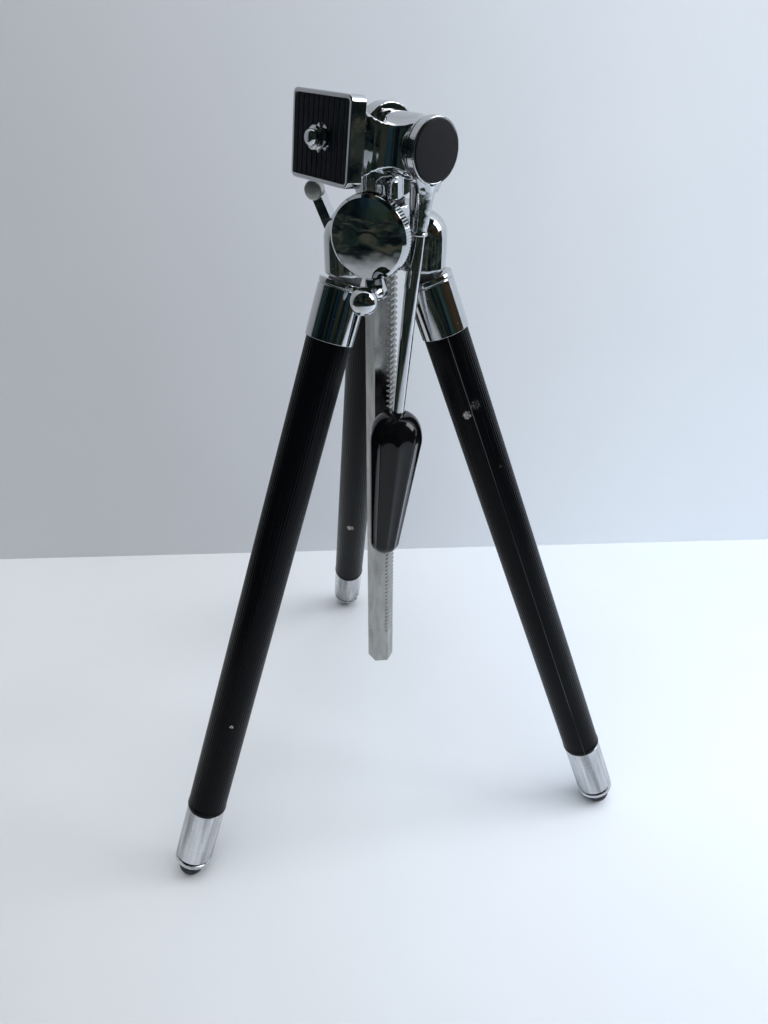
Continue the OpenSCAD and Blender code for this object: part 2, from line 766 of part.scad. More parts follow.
housing();
shoulders();
hinge_pins();
pinion_bush();
column();
pan_washer();
pinion();
crank_wheel();
crank_knob();
lock_bolt();
lock_lever();
pan_base();
tilt_axle();
plate_casting();
plate_pad();
camera_screw();
screw_knob();
screw_clip();
handle_hub();
hub_cap();
handle_rod();
handle_grip();
knuckle(left_az);  // knuckle_left
ferrule(left_az);  // ferrule_left
leg_tube(left_az);  // leg_tube_left
inner_tube(left_az);  // inner_tube_left
foot_sleeve(left_az);  // foot_sleeve_left
foot_ring(left_az);  // foot_ring_left
foot_tip(left_az);  // foot_tip_left
knuckle(right_az);  // knuckle_right
ferrule(right_az);  // ferrule_right
leg_tube(right_az);  // leg_tube_right
inner_tube(right_az);  // inner_tube_right
foot_sleeve(right_az);  // foot_sleeve_right
foot_ring(right_az);  // foot_ring_right
foot_tip(right_az);  // foot_tip_right
knuckle(rear_az);  // knuckle_rear
ferrule(rear_az);  // ferrule_rear
leg_tube(rear_az);  // leg_tube_rear
inner_tube(rear_az);  // inner_tube_rear
foot_sleeve(rear_az);  // foot_sleeve_rear
foot_ring(rear_az);  // foot_ring_rear
foot_tip(rear_az);  // foot_tip_rear
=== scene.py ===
"""Compact table tripod with a geared centre column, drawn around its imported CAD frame."""

import json
import math
import bmesh
import bpy
from mathutils import Matrix, Vector


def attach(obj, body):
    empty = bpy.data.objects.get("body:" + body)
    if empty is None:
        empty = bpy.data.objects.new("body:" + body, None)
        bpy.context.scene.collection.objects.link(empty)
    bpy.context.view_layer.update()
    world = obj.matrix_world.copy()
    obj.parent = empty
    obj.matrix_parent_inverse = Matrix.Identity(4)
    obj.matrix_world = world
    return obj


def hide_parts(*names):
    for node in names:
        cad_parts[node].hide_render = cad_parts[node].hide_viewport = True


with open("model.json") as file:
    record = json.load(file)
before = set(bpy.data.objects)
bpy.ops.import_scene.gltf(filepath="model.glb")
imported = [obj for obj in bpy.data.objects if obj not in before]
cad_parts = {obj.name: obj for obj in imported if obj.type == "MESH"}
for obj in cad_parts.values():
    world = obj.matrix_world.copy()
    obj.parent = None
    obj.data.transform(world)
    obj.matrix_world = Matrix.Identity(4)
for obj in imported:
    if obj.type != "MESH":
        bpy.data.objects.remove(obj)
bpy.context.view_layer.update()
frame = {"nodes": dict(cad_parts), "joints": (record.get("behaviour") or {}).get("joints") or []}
scene = bpy.context.scene
joints = {j["name"]: j for j in frame["joints"]}


# ---- Camera ------------------------------------------------------------------------------
# In front of the tripod and a little to its left, above its head and looking down on it, as
# a person at the table does. No depth of field and no shift.
CAMERA_AT = (-0.04703, -0.23728, 0.29412)
PAN, TILT, ROLL = -11.5, 55.75, 0.32
camera_data = bpy.data.cameras.new("camera")
camera_data.lens = 27.07
camera_data.sensor_width = 36
camera_data.clip_start = 0.01
camera = bpy.data.objects.new("camera", camera_data)
look = Matrix.Rotation(math.radians(PAN), 4, "Z") @ Matrix.Rotation(math.radians(TILT), 4, "X")
camera.matrix_world = (Matrix.Translation(CAMERA_AT) @ look
                       @ Matrix.Rotation(math.radians(ROLL), 4, "Z"))
scene.collection.objects.link(camera)
scene.camera = camera


# ---- Rubber foot tips --------------------------------------------------------------------
# Moulded black rubber buttons that carry the tripod. Each is a domed plug pressed into the
# bore of its foot ring. Matt, with a fine grain and pale dust from the table.
METRES = Matrix.Scale(0.001, 4)


def seat(origin, out, side):
    """Place for a drawing in millimetres: its Z axis points out, its X axis to that side."""
    z = Vector(out).normalized()
    x = (Vector(side) - z * Vector(side).dot(z)).normalized()
    turn = Matrix((x, z.cross(x), z)).transposed().to_4x4()
    return Matrix.Translation(origin) @ turn @ METRES


def made(name, bm, place, rounding=0.0, steps=2, crease=32):
    """Finished piece, with rounded edges. Its material keeps the drawing's millimetres."""
    own = bm.verts.layers.float_vector.new("own_mm")
    for v in bm.verts:
        v[own] = v.co
    for f in bm.faces:
        f.smooth = True
    for e in bm.edges:
        e.smooth = bool(rounding) or e.calc_face_angle(0) < math.radians(crease)
    bm.transform(place)
    mesh = bpy.data.meshes.new(name)
    bm.to_mesh(mesh)
    bm.free()
    piece = bpy.data.objects.new(name, mesh)
    scene.collection.objects.link(piece)
    if rounding:
        bevel = piece.modifiers.new("rounded edges", "BEVEL")
        bevel.width = rounding / 1000
        bevel.segments = steps
        bevel.limit_method = "ANGLE"
        bevel.angle_limit = math.radians(28)
        bevel.miter_outer = "MITER_ARC"
        weigh = piece.modifiers.new("flat faces stay flat", "WEIGHTED_NORMAL")
        weigh.keep_sharp = True
    return piece


def turned(profile, steps=96, closed=False):
    """Lathe work: a line of (radius, height) points spun about Z."""
    bm = bmesh.new()
    line = [bm.verts.new((r, 0, z)) for r, z in profile]
    edges = [bm.edges.new(pair) for pair in zip(line, line[1:] + line[:1] * closed)]
    bmesh.ops.spin(bm, geom=line + edges, cent=(0, 0, 0), axis=(0, 0, 1), angle=2 * math.pi,
                   steps=steps, use_merge=True)
    bmesh.ops.remove_doubles(bm, verts=bm.verts, dist=1e-4)
    bmesh.ops.recalc_face_normals(bm, faces=bm.faces)
    return bm


def arc(centre, radius, start, end, count=8):
    """Points of a round corner, in degrees from the radius direction towards the height."""
    return [(centre[0] + radius * math.cos(math.radians(start + (end - start) * k / count)),
             centre[1] + radius * math.sin(math.radians(start + (end - start) * k / count)))
            for k in range(count + 1)]


def linear(hexa):
    """Linear colour of an sRGB hex value."""
    parts = [int(hexa[i:i + 2], 16) / 255 for i in (0, 2, 4)]
    return [c / 12.92 if c <= 0.04045 else ((c + 0.055) / 1.055) ** 2.4 for c in parts] + [1]


def add(tree, kind, sockets=None, **settings):
    """New node with its settings. A socket takes a value, or another node's output as a link."""
    node = tree.nodes.new(kind)
    for key, value in settings.items():
        setattr(node, key, value)
    for key, value in (sockets or {}).items():
        if isinstance(value, bpy.types.NodeSocket):
            tree.links.new(value, node.inputs[key])
        else:
            node.inputs[key].default_value = value
    return node


def own_mm(tree):
    """Each point's place in its piece's drawing, in millimetres."""
    return add(tree, "ShaderNodeAttribute", attribute_name="own_mm").outputs["Vector"]


def noise(tree, place, scale, detail, roughness=0.5):
    """Cloudy pattern."""
    return add(tree, "ShaderNodeTexNoise", {"Vector": place, "Scale": scale, "Detail": detail,
                                            "Roughness": roughness}).outputs["Fac"]


def scaled(tree, place, scale, turn=(0.0, 0.0, 0.0)):
    """Place to draw a pattern by, so that it is stretched and turned."""
    return add(tree, "ShaderNodeMapping", {"Vector": place, "Scale": scale,
                                           "Rotation": turn}).outputs["Vector"]


def ranged(tree, value, low, high, start=0.0, end=1.0, **settings):
    """Number that runs from start to end while the value runs from low to high."""
    return add(tree, "ShaderNodeMapRange", {"Value": value, "From Min": low, "From Max": high,
                                            "To Min": start, "To Max": end},
               **settings).outputs["Result"]


def worked(tree, operation, *values):
    """Arithmetic on numbers and on nodes' outputs."""
    return add(tree, "ShaderNodeMath", dict(enumerate(values)),
               operation=operation).outputs["Value"]


def blended(tree, share, first, second):
    """Colour on the way from the first to the second; each is a hex value or a node's output."""
    first, second = (linear(c) if isinstance(c, str) else c for c in (first, second))
    return add(tree, "ShaderNodeMix", {"Factor": share, "A": first, "B": second},
               data_type="RGBA").outputs["Result"]


def ramped(tree, value, *stops):
    """Colour by a value, through stops of (value, hex colour)."""
    node = add(tree, "ShaderNodeValToRGB", {"Fac": value})
    elements = node.color_ramp.elements
    for element, (position, hexa) in zip(elements, (stops[0], stops[-1])):
        element.position, element.color = position, linear(hexa)
    for position, hexa in stops[1:-1]:
        elements.new(position).color = linear(hexa)
    return node.outputs["Color"]


def bumped(tree, height, distance, strength=1.0, **under):
    """Fine relief, its distance in metres."""
    return add(tree, "ShaderNodeBump", {"Height": height, "Strength": strength,
                                        "Distance": distance, **under}).outputs["Normal"]


def wired(tree, shader, colour, roughness, normal):
    """Links a surface's patterns to its shader."""
    for socket, output in (("Base Color", colour), ("Roughness", roughness), ("Normal", normal)):
        tree.links.new(output, shader.inputs[socket])


def surface(name, colour, metallic, roughness):
    """New material with its shader's constant values."""
    material = bpy.data.materials.new(name)
    material.use_nodes = True
    shader = material.node_tree.nodes["Principled BSDF"]
    shader.inputs["Base Color"].default_value = linear(colour)
    shader.inputs["Metallic"].default_value = metallic
    shader.inputs["Roughness"].default_value = roughness
    return material, material.node_tree, shader


def leg_frame(side):
    """Frame of one leg: from its hinge pin down the leg, with X along the pin."""
    hinge = joints[side + "_leg_fold"]
    return seat(hinge["pos_m"], joints[side + "_leg_slide"]["axis"], hinge["axis"])


def coat(piece, material):
    """Gives a piece its material."""
    piece.data.materials.append(material)


rubber, tree, shader = surface("moulded rubber", "141416", 0, 0.7)
drawing = own_mm(tree)
dust = noise(tree, drawing, 0.5, 5.0)
film = ramped(tree, dust, (0.45, "121214"), (0.8, "3a3936"))
grain = noise(tree, drawing, 6.0, 3.0)
bump = bumped(tree, grain, 0.00004, strength=0.5)
tree.links.new(film, shader.inputs["Base Color"])
tree.links.new(bump, shader.inputs["Normal"])

SIDES = ("left", "right", "rear")
TIP_R = 4.8
TIP_WALL = 0.8
PLUG_R = 3.4
RING_TOP = 233.2
RING_END = 236.8
for side in SIDES:
    tip = made("rubber_tip_" + side, turned(
        [(0, RING_TOP), (PLUG_R, RING_TOP), (PLUG_R, RING_END), (TIP_R - 0.3, RING_END)]
        + [(TIP_R, RING_END + 0.3)] + arc((0, RING_END + TIP_WALL), TIP_R, 0, 90, 14)[:-1]
        + [(0, RING_END + TIP_WALL + TIP_R)]), leg_frame(side))
    coat(tip, rubber)
    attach(tip, "foot_" + side)
    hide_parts("foot_tip_" + side)


# ---- Foot rings --------------------------------------------------------------------------
# Knurled and chrome-plated brass rings that screw onto the foot sleeves. A band of straight
# knurl above, a cone down to the rubber below, a bore for the rubber's plug.
def drum(rings, ridges, shape=(0, 1), bored=False):
    """Ridged lathe work: rings of (height, radius, groove depth), and the shape of one ridge."""
    bm = bmesh.new()
    count = ridges * len(shape)
    verts = bmesh.ops.create_circle(bm, segments=count, radius=1)["verts"]
    edges = first = bm.edges[:]
    for k, (height, radius, depth) in enumerate(rings):
        if k:
            grown = bmesh.ops.extrude_edge_only(bm, edges=edges)["geom"]
            verts = [g for g in grown if isinstance(g, bmesh.types.BMVert)]
            new = set(verts)
            edges = [g for g in grown if isinstance(g, bmesh.types.BMEdge)
                     and new.issuperset(g.verts)]
        for v in verts:
            turn = math.atan2(v.co.y, v.co.x)
            reach = radius - depth * shape[round(turn / (2 * math.pi) * count) % len(shape)]
            v.co = (reach * math.cos(turn), reach * math.sin(turn), height)
    if bored:
        bmesh.ops.bridge_loops(bm, edges=first + edges)
    else:
        bmesh.ops.edgeloop_fill(bm, edges=first)
        bmesh.ops.edgeloop_fill(bm, edges=edges)
    bmesh.ops.recalc_face_normals(bm, faces=bm.faces)
    return bm


def scattered(tree, place, scale):
    """Scattered points: the distance to the nearest one, and that point's own chance number."""
    cells = add(tree, "ShaderNodeTexVoronoi", {"Vector": place, "Scale": scale})
    parts = add(tree, "ShaderNodeSeparateColor", {"Color": cells.outputs["Color"]})
    return cells.outputs["Distance"], parts.outputs["Red"]


def chrome_plate(name, haze, waviness, pits, swell=0.45):
    """Bright chrome plate: a mirror with hazy patches, fine polishing lines and small pits."""
    material, tree, shader = surface(name, "c8cacc", 1, 0.06)
    drawing = own_mm(tree)
    patches = noise(tree, drawing, 0.28, 6.0, 0.65)
    wear = ranged(tree, patches, 0.42, 0.75, 0.035, haze)
    distance, chance = scattered(tree, drawing, 0.9)
    size = ranged(tree, chance, 1 - pits, 1.0, 0.0, 0.2)
    hole = worked(tree, "LESS_THAN", distance, size)
    tone = blended(tree, hole, "c8cacc", "8b8c88")
    rough = add(tree, "ShaderNodeMix", {"Factor": hole, "A": wear, "B": 0.5})
    peel = noise(tree, drawing, swell, 2.0)
    soft = bumped(tree, peel, waviness)
    strokes = scaled(tree, drawing, (9.0, 9.0, 0.35), (0.4, 0.2, 0.7))
    lines = noise(tree, strokes, 1.0, 3.0)
    bump = bumped(tree, lines, 0.0000008, Normal=soft)
    wired(tree, shader, tone, rough.outputs["Result"], bump)
    return material


turned_chrome = chrome_plate("chrome plate on turned brass", haze=0.14, waviness=0.000003,
                             pits=0.12)
dulled_chrome = chrome_plate("chrome plate on the foot rings, dulled by use", haze=0.6,
                             waviness=0.000003, pits=0.3)
RING_R = 7.0
RING_BORE = 3.45
RING_MOUTH = 5.1
RING_RIDGES = 64
KNURL = 0.3
for side in SIDES:
    ring = made("knurled_ring_" + side, drum(
        [(RING_TOP, RING_BORE, 0), (RING_TOP, RING_R - 0.4, 0),
         (RING_TOP + 0.15, RING_R - 0.1, 0.12), (RING_TOP + 0.3, RING_R, KNURL),
         (RING_TOP + 1.5, RING_R, KNURL), (RING_TOP + 1.62, RING_R - 0.3, 0),
         (RING_TOP + 1.75, RING_R - 0.45, 0), (RING_END - 0.15, RING_MOUTH + 0.15, 0),
         (RING_END, RING_MOUTH, 0), (RING_END, RING_BORE, 0)], RING_RIDGES, bored=True),
        leg_frame(side))
    coat(ring, dulled_chrome)
    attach(ring, "foot_" + side)
    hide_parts("foot_ring_" + side)


# ---- Foot sleeves ------------------------------------------------------------------------
# Plain sleeves of anodised aluminium on the ends of the inner tubes. Turned, so they show
# fine rings, with greyer bands along them where hands have wiped and small dark nicks.
satin, tree, shader = surface("anodised aluminium, turned", "c9ccd0", 1, 0.3)
drawing = own_mm(tree)
feed = scaled(tree, drawing, (0.05, 0.05, 7.0))
rings = noise(tree, feed, 1.0, 3.0)
wiped = scaled(tree, drawing, (0.3, 0.3, 0.02))
stain = noise(tree, wiped, 1.0, 3.0)
band = ranged(tree, stain, 0.36, 0.64)
tone = blended(tree, band, "dcdee1", "8e8f90")
distance, _ = scattered(tree, drawing, 0.3)
nick = worked(tree, "LESS_THAN", distance, 0.06)
marked = blended(tree, nick, tone, "6f7073")
rough = ranged(tree, rings, 0.3, 0.7, 0.17, 0.3)
bump = bumped(tree, rings, 0.0000008)
wired(tree, shader, marked, rough, bump)

SLEEVE_TOP = 208.6
SLEEVE_END = 232.6
SLEEVE_R = 7.1
SLEEVE_MOUTH = 5.2
SPIGOT_END = SLEEVE_TOP + 17
INNER_R = 6.0
for side in SIDES:
    sleeve = made("foot_collar_" + side, turned(
        [(0, SPIGOT_END), (INNER_R, SPIGOT_END), (INNER_R, SLEEVE_TOP + 0.3),
         (INNER_R + 0.3, SLEEVE_TOP), (SLEEVE_R - 0.25, SLEEVE_TOP), (SLEEVE_R, SLEEVE_TOP + 0.25),
         (SLEEVE_R, SLEEVE_END - 0.7), (SLEEVE_R - 0.12, SLEEVE_END - 0.45),
         (SLEEVE_R - 0.5, SLEEVE_END), (SLEEVE_MOUTH, SLEEVE_END), (SLEEVE_MOUTH, RING_TOP),
         (0, RING_TOP)]), leg_frame(side))
    coat(sleeve, satin)
    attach(sleeve, "foot_" + side)
    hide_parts("foot_sleeve_" + side)


# ---- Inner tubes -------------------------------------------------------------------------
# Bright drawn aluminium tubes that slide out of the black tubes. The upper end is swelled
# into a guide, and the wall shows fine lines along its length from drawing and use.
drawn, tree, shader = surface("drawn aluminium tube", "d4d6d8", 1, 0.22)
drawing = own_mm(tree)
along = scaled(tree, drawing, (5.0, 5.0, 0.05))
lines = noise(tree, along, 1.0, 4.0)
rough = ranged(tree, lines, 0.3, 0.7, 0.14, 0.34)
tone = blended(tree, lines, "e0e2e4", "b9bbbe")
bump = bumped(tree, lines, 0.000002)
wired(tree, shader, tone, rough, bump)

INNER_TOP = 41.8
INNER_WALL = 0.6
GUIDE_R = 6.5
GUIDE_END = INNER_TOP + 6
for side in SIDES:
    tube = made("drawn_tube_" + side, turned(
        [(INNER_R - INNER_WALL, INNER_TOP), (GUIDE_R - 0.2, INNER_TOP),
         (GUIDE_R, INNER_TOP + 0.2), (GUIDE_R, GUIDE_END - 0.2), (GUIDE_R - 0.2, GUIDE_END),
         (INNER_R, GUIDE_END), (INNER_R, SPIGOT_END), (INNER_R - INNER_WALL, SPIGOT_END)],
        closed=True), leg_frame(side))
    coat(tube, drawn)
    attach(tube, "foot_" + side)
    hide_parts("inner_tube_" + side)


# ---- Black leg tubes ---------------------------------------------------------------------
# Aluminium tubes with fine ribs drawn along them, stoved in black enamel. The lower end is
# rolled into a lip. Rib crests are rubbed, a few chips show bare metal, and dust lies on it.
def measured(tree, place, direction):
    """How far a place lies in a direction."""
    return add(tree, "ShaderNodeVectorMath", {0: place, 1: direction},
               operation="DOT_PRODUCT").outputs["Value"]


def black_enamel(name, chips=(), pale_line=None):
    """Black stoving enamel. Chips are (degrees around, mm down the leg, mm across), and the pale
    line is a thin pale stripe along one side of the tube, at that many degrees around."""
    material, tree, shader = surface(name, "030405", 0, 0.2)
    shader.inputs["Specular IOR Level"].default_value = 0.1
    drawing = own_mm(tree)
    along = scaled(tree, drawing, (0.9, 0.9, 0.03))
    rub = noise(tree, along, 1.0, 5.0, 0.6)
    tone = blended(tree, rub, "020304", "090a0d")
    distance, chance = scattered(tree, drawing, 0.25)
    speck = worked(tree, "LESS_THAN", distance, ranged(tree, chance, 0.8, 1.0, 0.0, 0.05))
    colour = blended(tree, speck, tone, "57585a")
    # A thin pale line fixed along one side of the tube, stronger where the rub pattern is.
    if pale_line is not None:
        x, y = math.cos(math.radians(pale_line)), math.sin(math.radians(pale_line))
        width = worked(tree, "ABSOLUTE", measured(tree, drawing, (y, -x, 0)))
        thin = worked(tree, "LESS_THAN", width, PALE_LINE_HALF)
        front = worked(tree, "GREATER_THAN", measured(tree, drawing, (x, y, 0)), 0.0)
        line_strength = ranged(tree, rub, 0.35, 0.65, 0.1, 0.65)
        line = worked(tree, "MULTIPLY", thin, front)
        colour = blended(tree, worked(tree, "MULTIPLY", line, line_strength), colour, "5f6163")
    ragged = noise(tree, drawing, 2.4, 6.0, 0.75)
    bare = 0.0
    for around, down, size in chips:
        turn = math.radians(around)
        spot = (LEG_R * math.cos(turn), LEG_R * math.sin(turn), down)
        apart = add(tree, "ShaderNodeVectorMath", {0: drawing, 1: spot}, operation="DISTANCE")
        near = ranged(tree, apart.outputs["Value"], size * 0.45, size, 0.3, 0.0)
        depth = worked(tree, "ADD", near, ragged)
        gone = worked(tree, "GREATER_THAN", depth, 0.78)
        bare = worked(tree, "MAXIMUM", gone, bare)
    if chips:
        colour = blended(tree, bare, colour, "bdbab4")
        tree.links.new(bare, shader.inputs["Metallic"])
    rough = ranged(tree, rub, 0.3, 0.75, 0.15, 0.32)
    grain = noise(tree, drawing, 2.2, 3.0)
    bump = bumped(tree, grain, 0.000003)
    wired(tree, shader, colour, rough, bump)
    return material


LEG_R = 7.2
TUBE_TOP = 8.8
TUBE_END = 208.3
TUBE_BORE = LEG_R - 0.6
MOUTH_R = INNER_R + 0.1
RIB = 0.1
RIBS = 44
RIB_SHAPE = (0, 0.1, 0.5, 1, 0.5, 0.1)
BAND = 24.5
PALE_LINE_HALF = 0.13
enamels = {
    "left": black_enamel("black enamel, left leg", [(-150, 166, 1.2)]),
    "right": black_enamel("black enamel, right leg and its seam",
                          [(-36, 48, 3.0), (-6, 50.5, 2.4), (-48, 72, 1.0)], pale_line=-21),
    "rear": black_enamel("black enamel, rear leg", [(110, 157, 2.8)]),
}
for side in SIDES:
    tube = made("ribbed_tube_" + side, drum(
        [(TUBE_TOP, TUBE_BORE, 0), (TUBE_TOP, LEG_R - 0.1, 0)]
        + [(TUBE_TOP + 0.2 + k * BAND, LEG_R, RIB) for k in range(8)]
        + [(TUBE_END - 2.2, LEG_R, RIB), (TUBE_END - 1.6, LEG_R + 0.05, RIB / 2),
           (TUBE_END - 1.2, LEG_R + 0.15, 0), (TUBE_END - 0.4, LEG_R + 0.18, 0),
           (TUBE_END - 0.1, LEG_R + 0.1, 0), (TUBE_END, LEG_R - 0.1, 0),
           (TUBE_END, MOUTH_R + 0.1, 0), (TUBE_END - 0.1, MOUTH_R, 0),
           (TUBE_END - 3, MOUTH_R, 0), (TUBE_END - 3, TUBE_BORE, 0)],
        RIBS, RIB_SHAPE, bored=True), leg_frame(side))
    coat(tube, enamels[side])
    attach(tube, "leg_" + side)
    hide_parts("leg_tube_" + side)


# ---- Ferrules ----------------------------------------------------------------------------
# Chrome-plated brass cups that close the tops of the legs. Turned, with a fine groove that
# leaves a bright rim, and pierced in the end for the knuckle.
FERRULE_R = 7.7
FERRULE_TOP = 5.8
FERRULE_END = 23.8
FERRULE_HOLE = 4.98
RIM_LINE = FERRULE_TOP + 1.5
for side in SIDES:
    ferrule = made("ferrule_cup_" + side, turned(
        [(LEG_R, FERRULE_END), (LEG_R, TUBE_TOP), (FERRULE_HOLE, TUBE_TOP),
         (FERRULE_HOLE, FERRULE_TOP), (FERRULE_R, FERRULE_TOP), (FERRULE_R, RIM_LINE),
         (FERRULE_R - 0.3, RIM_LINE + 0.1), (FERRULE_R - 0.3, RIM_LINE + 0.4),
         (FERRULE_R, RIM_LINE + 0.5), (FERRULE_R, FERRULE_END)], steps=128, closed=True),
        leg_frame(side), rounding=0.14)
    coat(ferrule, turned_chrome)
    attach(ferrule, "leg_" + side)
    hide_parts("ferrule_" + side)


# ---- Knuckles and hinge pins -------------------------------------------------------------
# Milled steel knuckles that join the legs to the housing, each on its own pin. Satin, with
# oil-darkened patches where they turn.
def refinish(node, material):
    """Gives a CAD node its better material."""
    for slot in frame["nodes"][node].material_slots:
        slot.material = material


def worn_steel(name, colour, dark, low, high):
    """Satin metal for small parts, with darker oily patches. Low to high is its roughness."""
    material, tree, shader = surface(name, colour, 1, 0.4)
    place = add(tree, "ShaderNodeTexCoord").outputs["Object"]
    drawing = scaled(tree, place, (1000.0, 1000.0, 1000.0))
    fine = noise(tree, drawing, 3.0, 4.0)
    oil = noise(tree, drawing, 0.3, 4.0)
    tone = blended(tree, oil, colour, dark)
    rough = ranged(tree, fine, 0.3, 0.7, low, high)
    bump = bumped(tree, fine, 0.000003)
    wired(tree, shader, tone, rough, bump)
    return material


milled_steel = worn_steel("milled steel, oiled", "a9abad", "4a4744", 0.25, 0.45)
for node in ("knuckle_left", "knuckle_right", "knuckle_rear", "hinge_pins"):
    refinish(node, milled_steel)


# ---- Housing -----------------------------------------------------------------------------
# One chrome-plated zinc casting: the column guide, three round shoulders over the legs, the
# pinion's boss and the lock's two ears. Every corner is soft, and the plate is pitted.
def casting(nodes, place):
    """Copy of CAD nodes in a drawing's own millimetres, merged and with its flats whole."""
    bm = bmesh.new()
    for node in nodes:
        bm.from_mesh(frame["nodes"][node].data)
    bm.transform(place.inverted())
    bmesh.ops.remove_doubles(bm, verts=bm.verts, dist=0.0005)
    bmesh.ops.dissolve_limit(bm, angle_limit=math.radians(0.6), verts=bm.verts, edges=bm.edges)
    return bm


def melted(bm, grain, passes):
    """Melts overlapping bodies into one casting with soft corners. The grain is in millimetres."""
    mesh = bpy.data.meshes.new("rough casting")
    bm.to_mesh(mesh)
    rough = bpy.data.objects.new("rough casting", mesh)
    scene.collection.objects.link(rough)
    melt = rough.modifiers.new("melt", "REMESH")
    melt.mode = "VOXEL"
    melt.voxel_size = grain
    ease = rough.modifiers.new("ease", "SMOOTH")
    ease.factor = 0.5
    ease.iterations = passes
    done = rough.evaluated_get(bpy.context.evaluated_depsgraph_get()).to_mesh()
    bm.clear()
    bm.from_mesh(done)
    bpy.data.objects.remove(rough)
    return bm


cast_chrome = chrome_plate("chrome plate on cast zinc", haze=0.17, waviness=0.000015, pits=0.42)
housing = made("cast_housing", melted(casting(["housing", "shoulders"], METRES), grain=0.28,
                                      passes=7), METRES)
coat(housing, cast_chrome)
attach(housing, "base")
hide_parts("housing", "shoulders")


# ---- Column, rack and pinion -------------------------------------------------------------
# Hexagonal bar of nickel-plated steel with the rack's teeth milled along one flat. Polished
# along its length, so it shows fine upright lines. The pinion and its bush are oiled.
plated_bar, tree, shader = surface("nickel plate on a drawn steel bar", "c9cac8", 1, 0.2)
place = add(tree, "ShaderNodeTexCoord").outputs["Object"]
along = scaled(tree, place, (4000.0, 4000.0, 40.0))
lines = noise(tree, along, 1.0, 4.0)
spread = scaled(tree, place, (300.0, 300.0, 90.0))
oil = noise(tree, spread, 1.0, 5.0)
tone = blended(tree, oil, "bdbdba", "75746f")
rough = ranged(tree, oil, 0.35, 0.7, 0.12, 0.32)
bump = bumped(tree, lines, 0.0000015)
wired(tree, shader, tone, rough, bump)
refinish("column", plated_bar)
refinish("pinion", worn_steel("cut steel, oiled", "b3b4b3", "57534c", 0.2, 0.38))
refinish("pinion_bush", worn_steel("turned brass, tarnished", "b08d4a", "6b522a", 0.3, 0.5))
refinish("pan_washer", worn_steel("blued steel washer", "3d3f43", "242527", 0.3, 0.5))
refinish("lock_bolt", worn_steel("zinc-plated steel bolt", "b9bbbd", "7d7c78", 0.25, 0.42))
refinish("tilt_axle", worn_steel("ground steel axle", "c0c2c4", "6d6b67", 0.14, 0.3))


# ---- Crank wheel -------------------------------------------------------------------------
# Domed chrome wheel on the pinion's shaft, with a straight-knurled rim for the fingers and
# a rounded lug beyond the rim that carries the crank knob. The dome is a mirror.
def rod_between(bm, start, end, radius):
    """A straight round bar from one point to another, in the drawing's millimetres."""
    way = Vector(end) - Vector(start)
    turn = way.to_track_quat("Z", "Y").to_matrix().to_4x4()
    place = Matrix.Translation((Vector(start) + Vector(end)) / 2) @ turn
    return bmesh.ops.create_cone(bm, cap_ends=True, segments=48, radius1=radius, radius2=radius,
                                 depth=way.length, matrix=place)["verts"]


def wrapped(bm, verts):
    """Turns those loose bars into the one convex body around them."""
    faces = {f for v in verts for f in v.link_faces}
    bmesh.ops.delete(bm, geom=list(faces), context="FACES_ONLY")
    skin = bmesh.ops.convex_hull(bm, input=verts)
    inside = [g for g in skin["geom_interior"] + skin["geom_unused"]
              if isinstance(g, bmesh.types.BMVert)]
    bmesh.ops.delete(bm, geom=inside, context="VERTS")


def gear_frame(joint):
    """Frame of a piece on the crank's side: Z out through the wheel, Y up."""
    out = Vector(joints[joint]["axis"])
    return seat(joints[joint]["pos_m"], out, Vector((0, 0, 1)).cross(out))


BOSS_BACK = 14.7
BOSS_BORE = 1.95
BOSS_R = 4
WHEEL_BACK = 20.6
WHEEL_FRONT = 25.5
WHEEL_R = 11.6
WHEEL_RIDGES = 84
DOME_R = 10.65
DOME = 0.7
DOME_RINGS = 12
LUG = (2.4, -14.9)
LUG_R = 2.6
LUG_BACK = 22.2
LUG_FRONT = 24.8
LUG_ROOT = 8.4
LUG_ROOT_R = 2.3
crank_place = gear_frame("crank_turn")
curve = (DOME_R ** 2 + DOME ** 2) / (2 * DOME)
dome = []
for k in range(DOME_RINGS, 0, -1):
    r = DOME_R * k / DOME_RINGS
    dome.append((WHEEL_FRONT + DOME - curve + math.sqrt(curve ** 2 - r ** 2), r, 0))
wheel = made("domed_crank_wheel", drum(
    [(BOSS_BACK, BOSS_BORE, 0), (BOSS_BACK, BOSS_R, 0), (WHEEL_BACK - 0.3, BOSS_R, 0),
     (WHEEL_BACK, BOSS_R + 0.3, 0), (WHEEL_BACK, WHEEL_R - 1, 0),
     (WHEEL_BACK + 0.1, WHEEL_R - 0.7, 0), (WHEEL_BACK + 0.35, WHEEL_R - 0.45, 0),
     (WHEEL_BACK + 0.45, WHEEL_R - 0.3, 0), (WHEEL_BACK + 0.6, WHEEL_R - 0.1, 0.2),
     (WHEEL_BACK + 0.75, WHEEL_R, KNURL), (WHEEL_FRONT - 1.15, WHEEL_R, KNURL),
     (WHEEL_FRONT - 1.0, WHEEL_R - 0.05, KNURL / 2), (WHEEL_FRONT - 0.9, WHEEL_R - 0.1, 0),
     (WHEEL_FRONT - 0.75, WHEEL_R - 0.18, 0), (WHEEL_FRONT - 0.08, DOME_R + 0.08, 0)] + dome,
    WHEEL_RIDGES), crank_place, crease=13)
coat(wheel, chrome_plate("chrome plate on a spun brass cap", haze=0.06, waviness=0.00022, pits=0.0,
                         swell=0.11))
bm = bmesh.new()
near = Vector(LUG).normalized() * LUG_ROOT
lug = rod_between(bm, (*LUG, LUG_BACK), (*LUG, LUG_FRONT), LUG_R)
lug += rod_between(bm, (*near, LUG_BACK), (*near, LUG_FRONT), LUG_ROOT_R)
wrapped(bm, lug)
arm = made("crank_lug", bm, crank_place, rounding=0.7, steps=4)
coat(arm, turned_chrome)
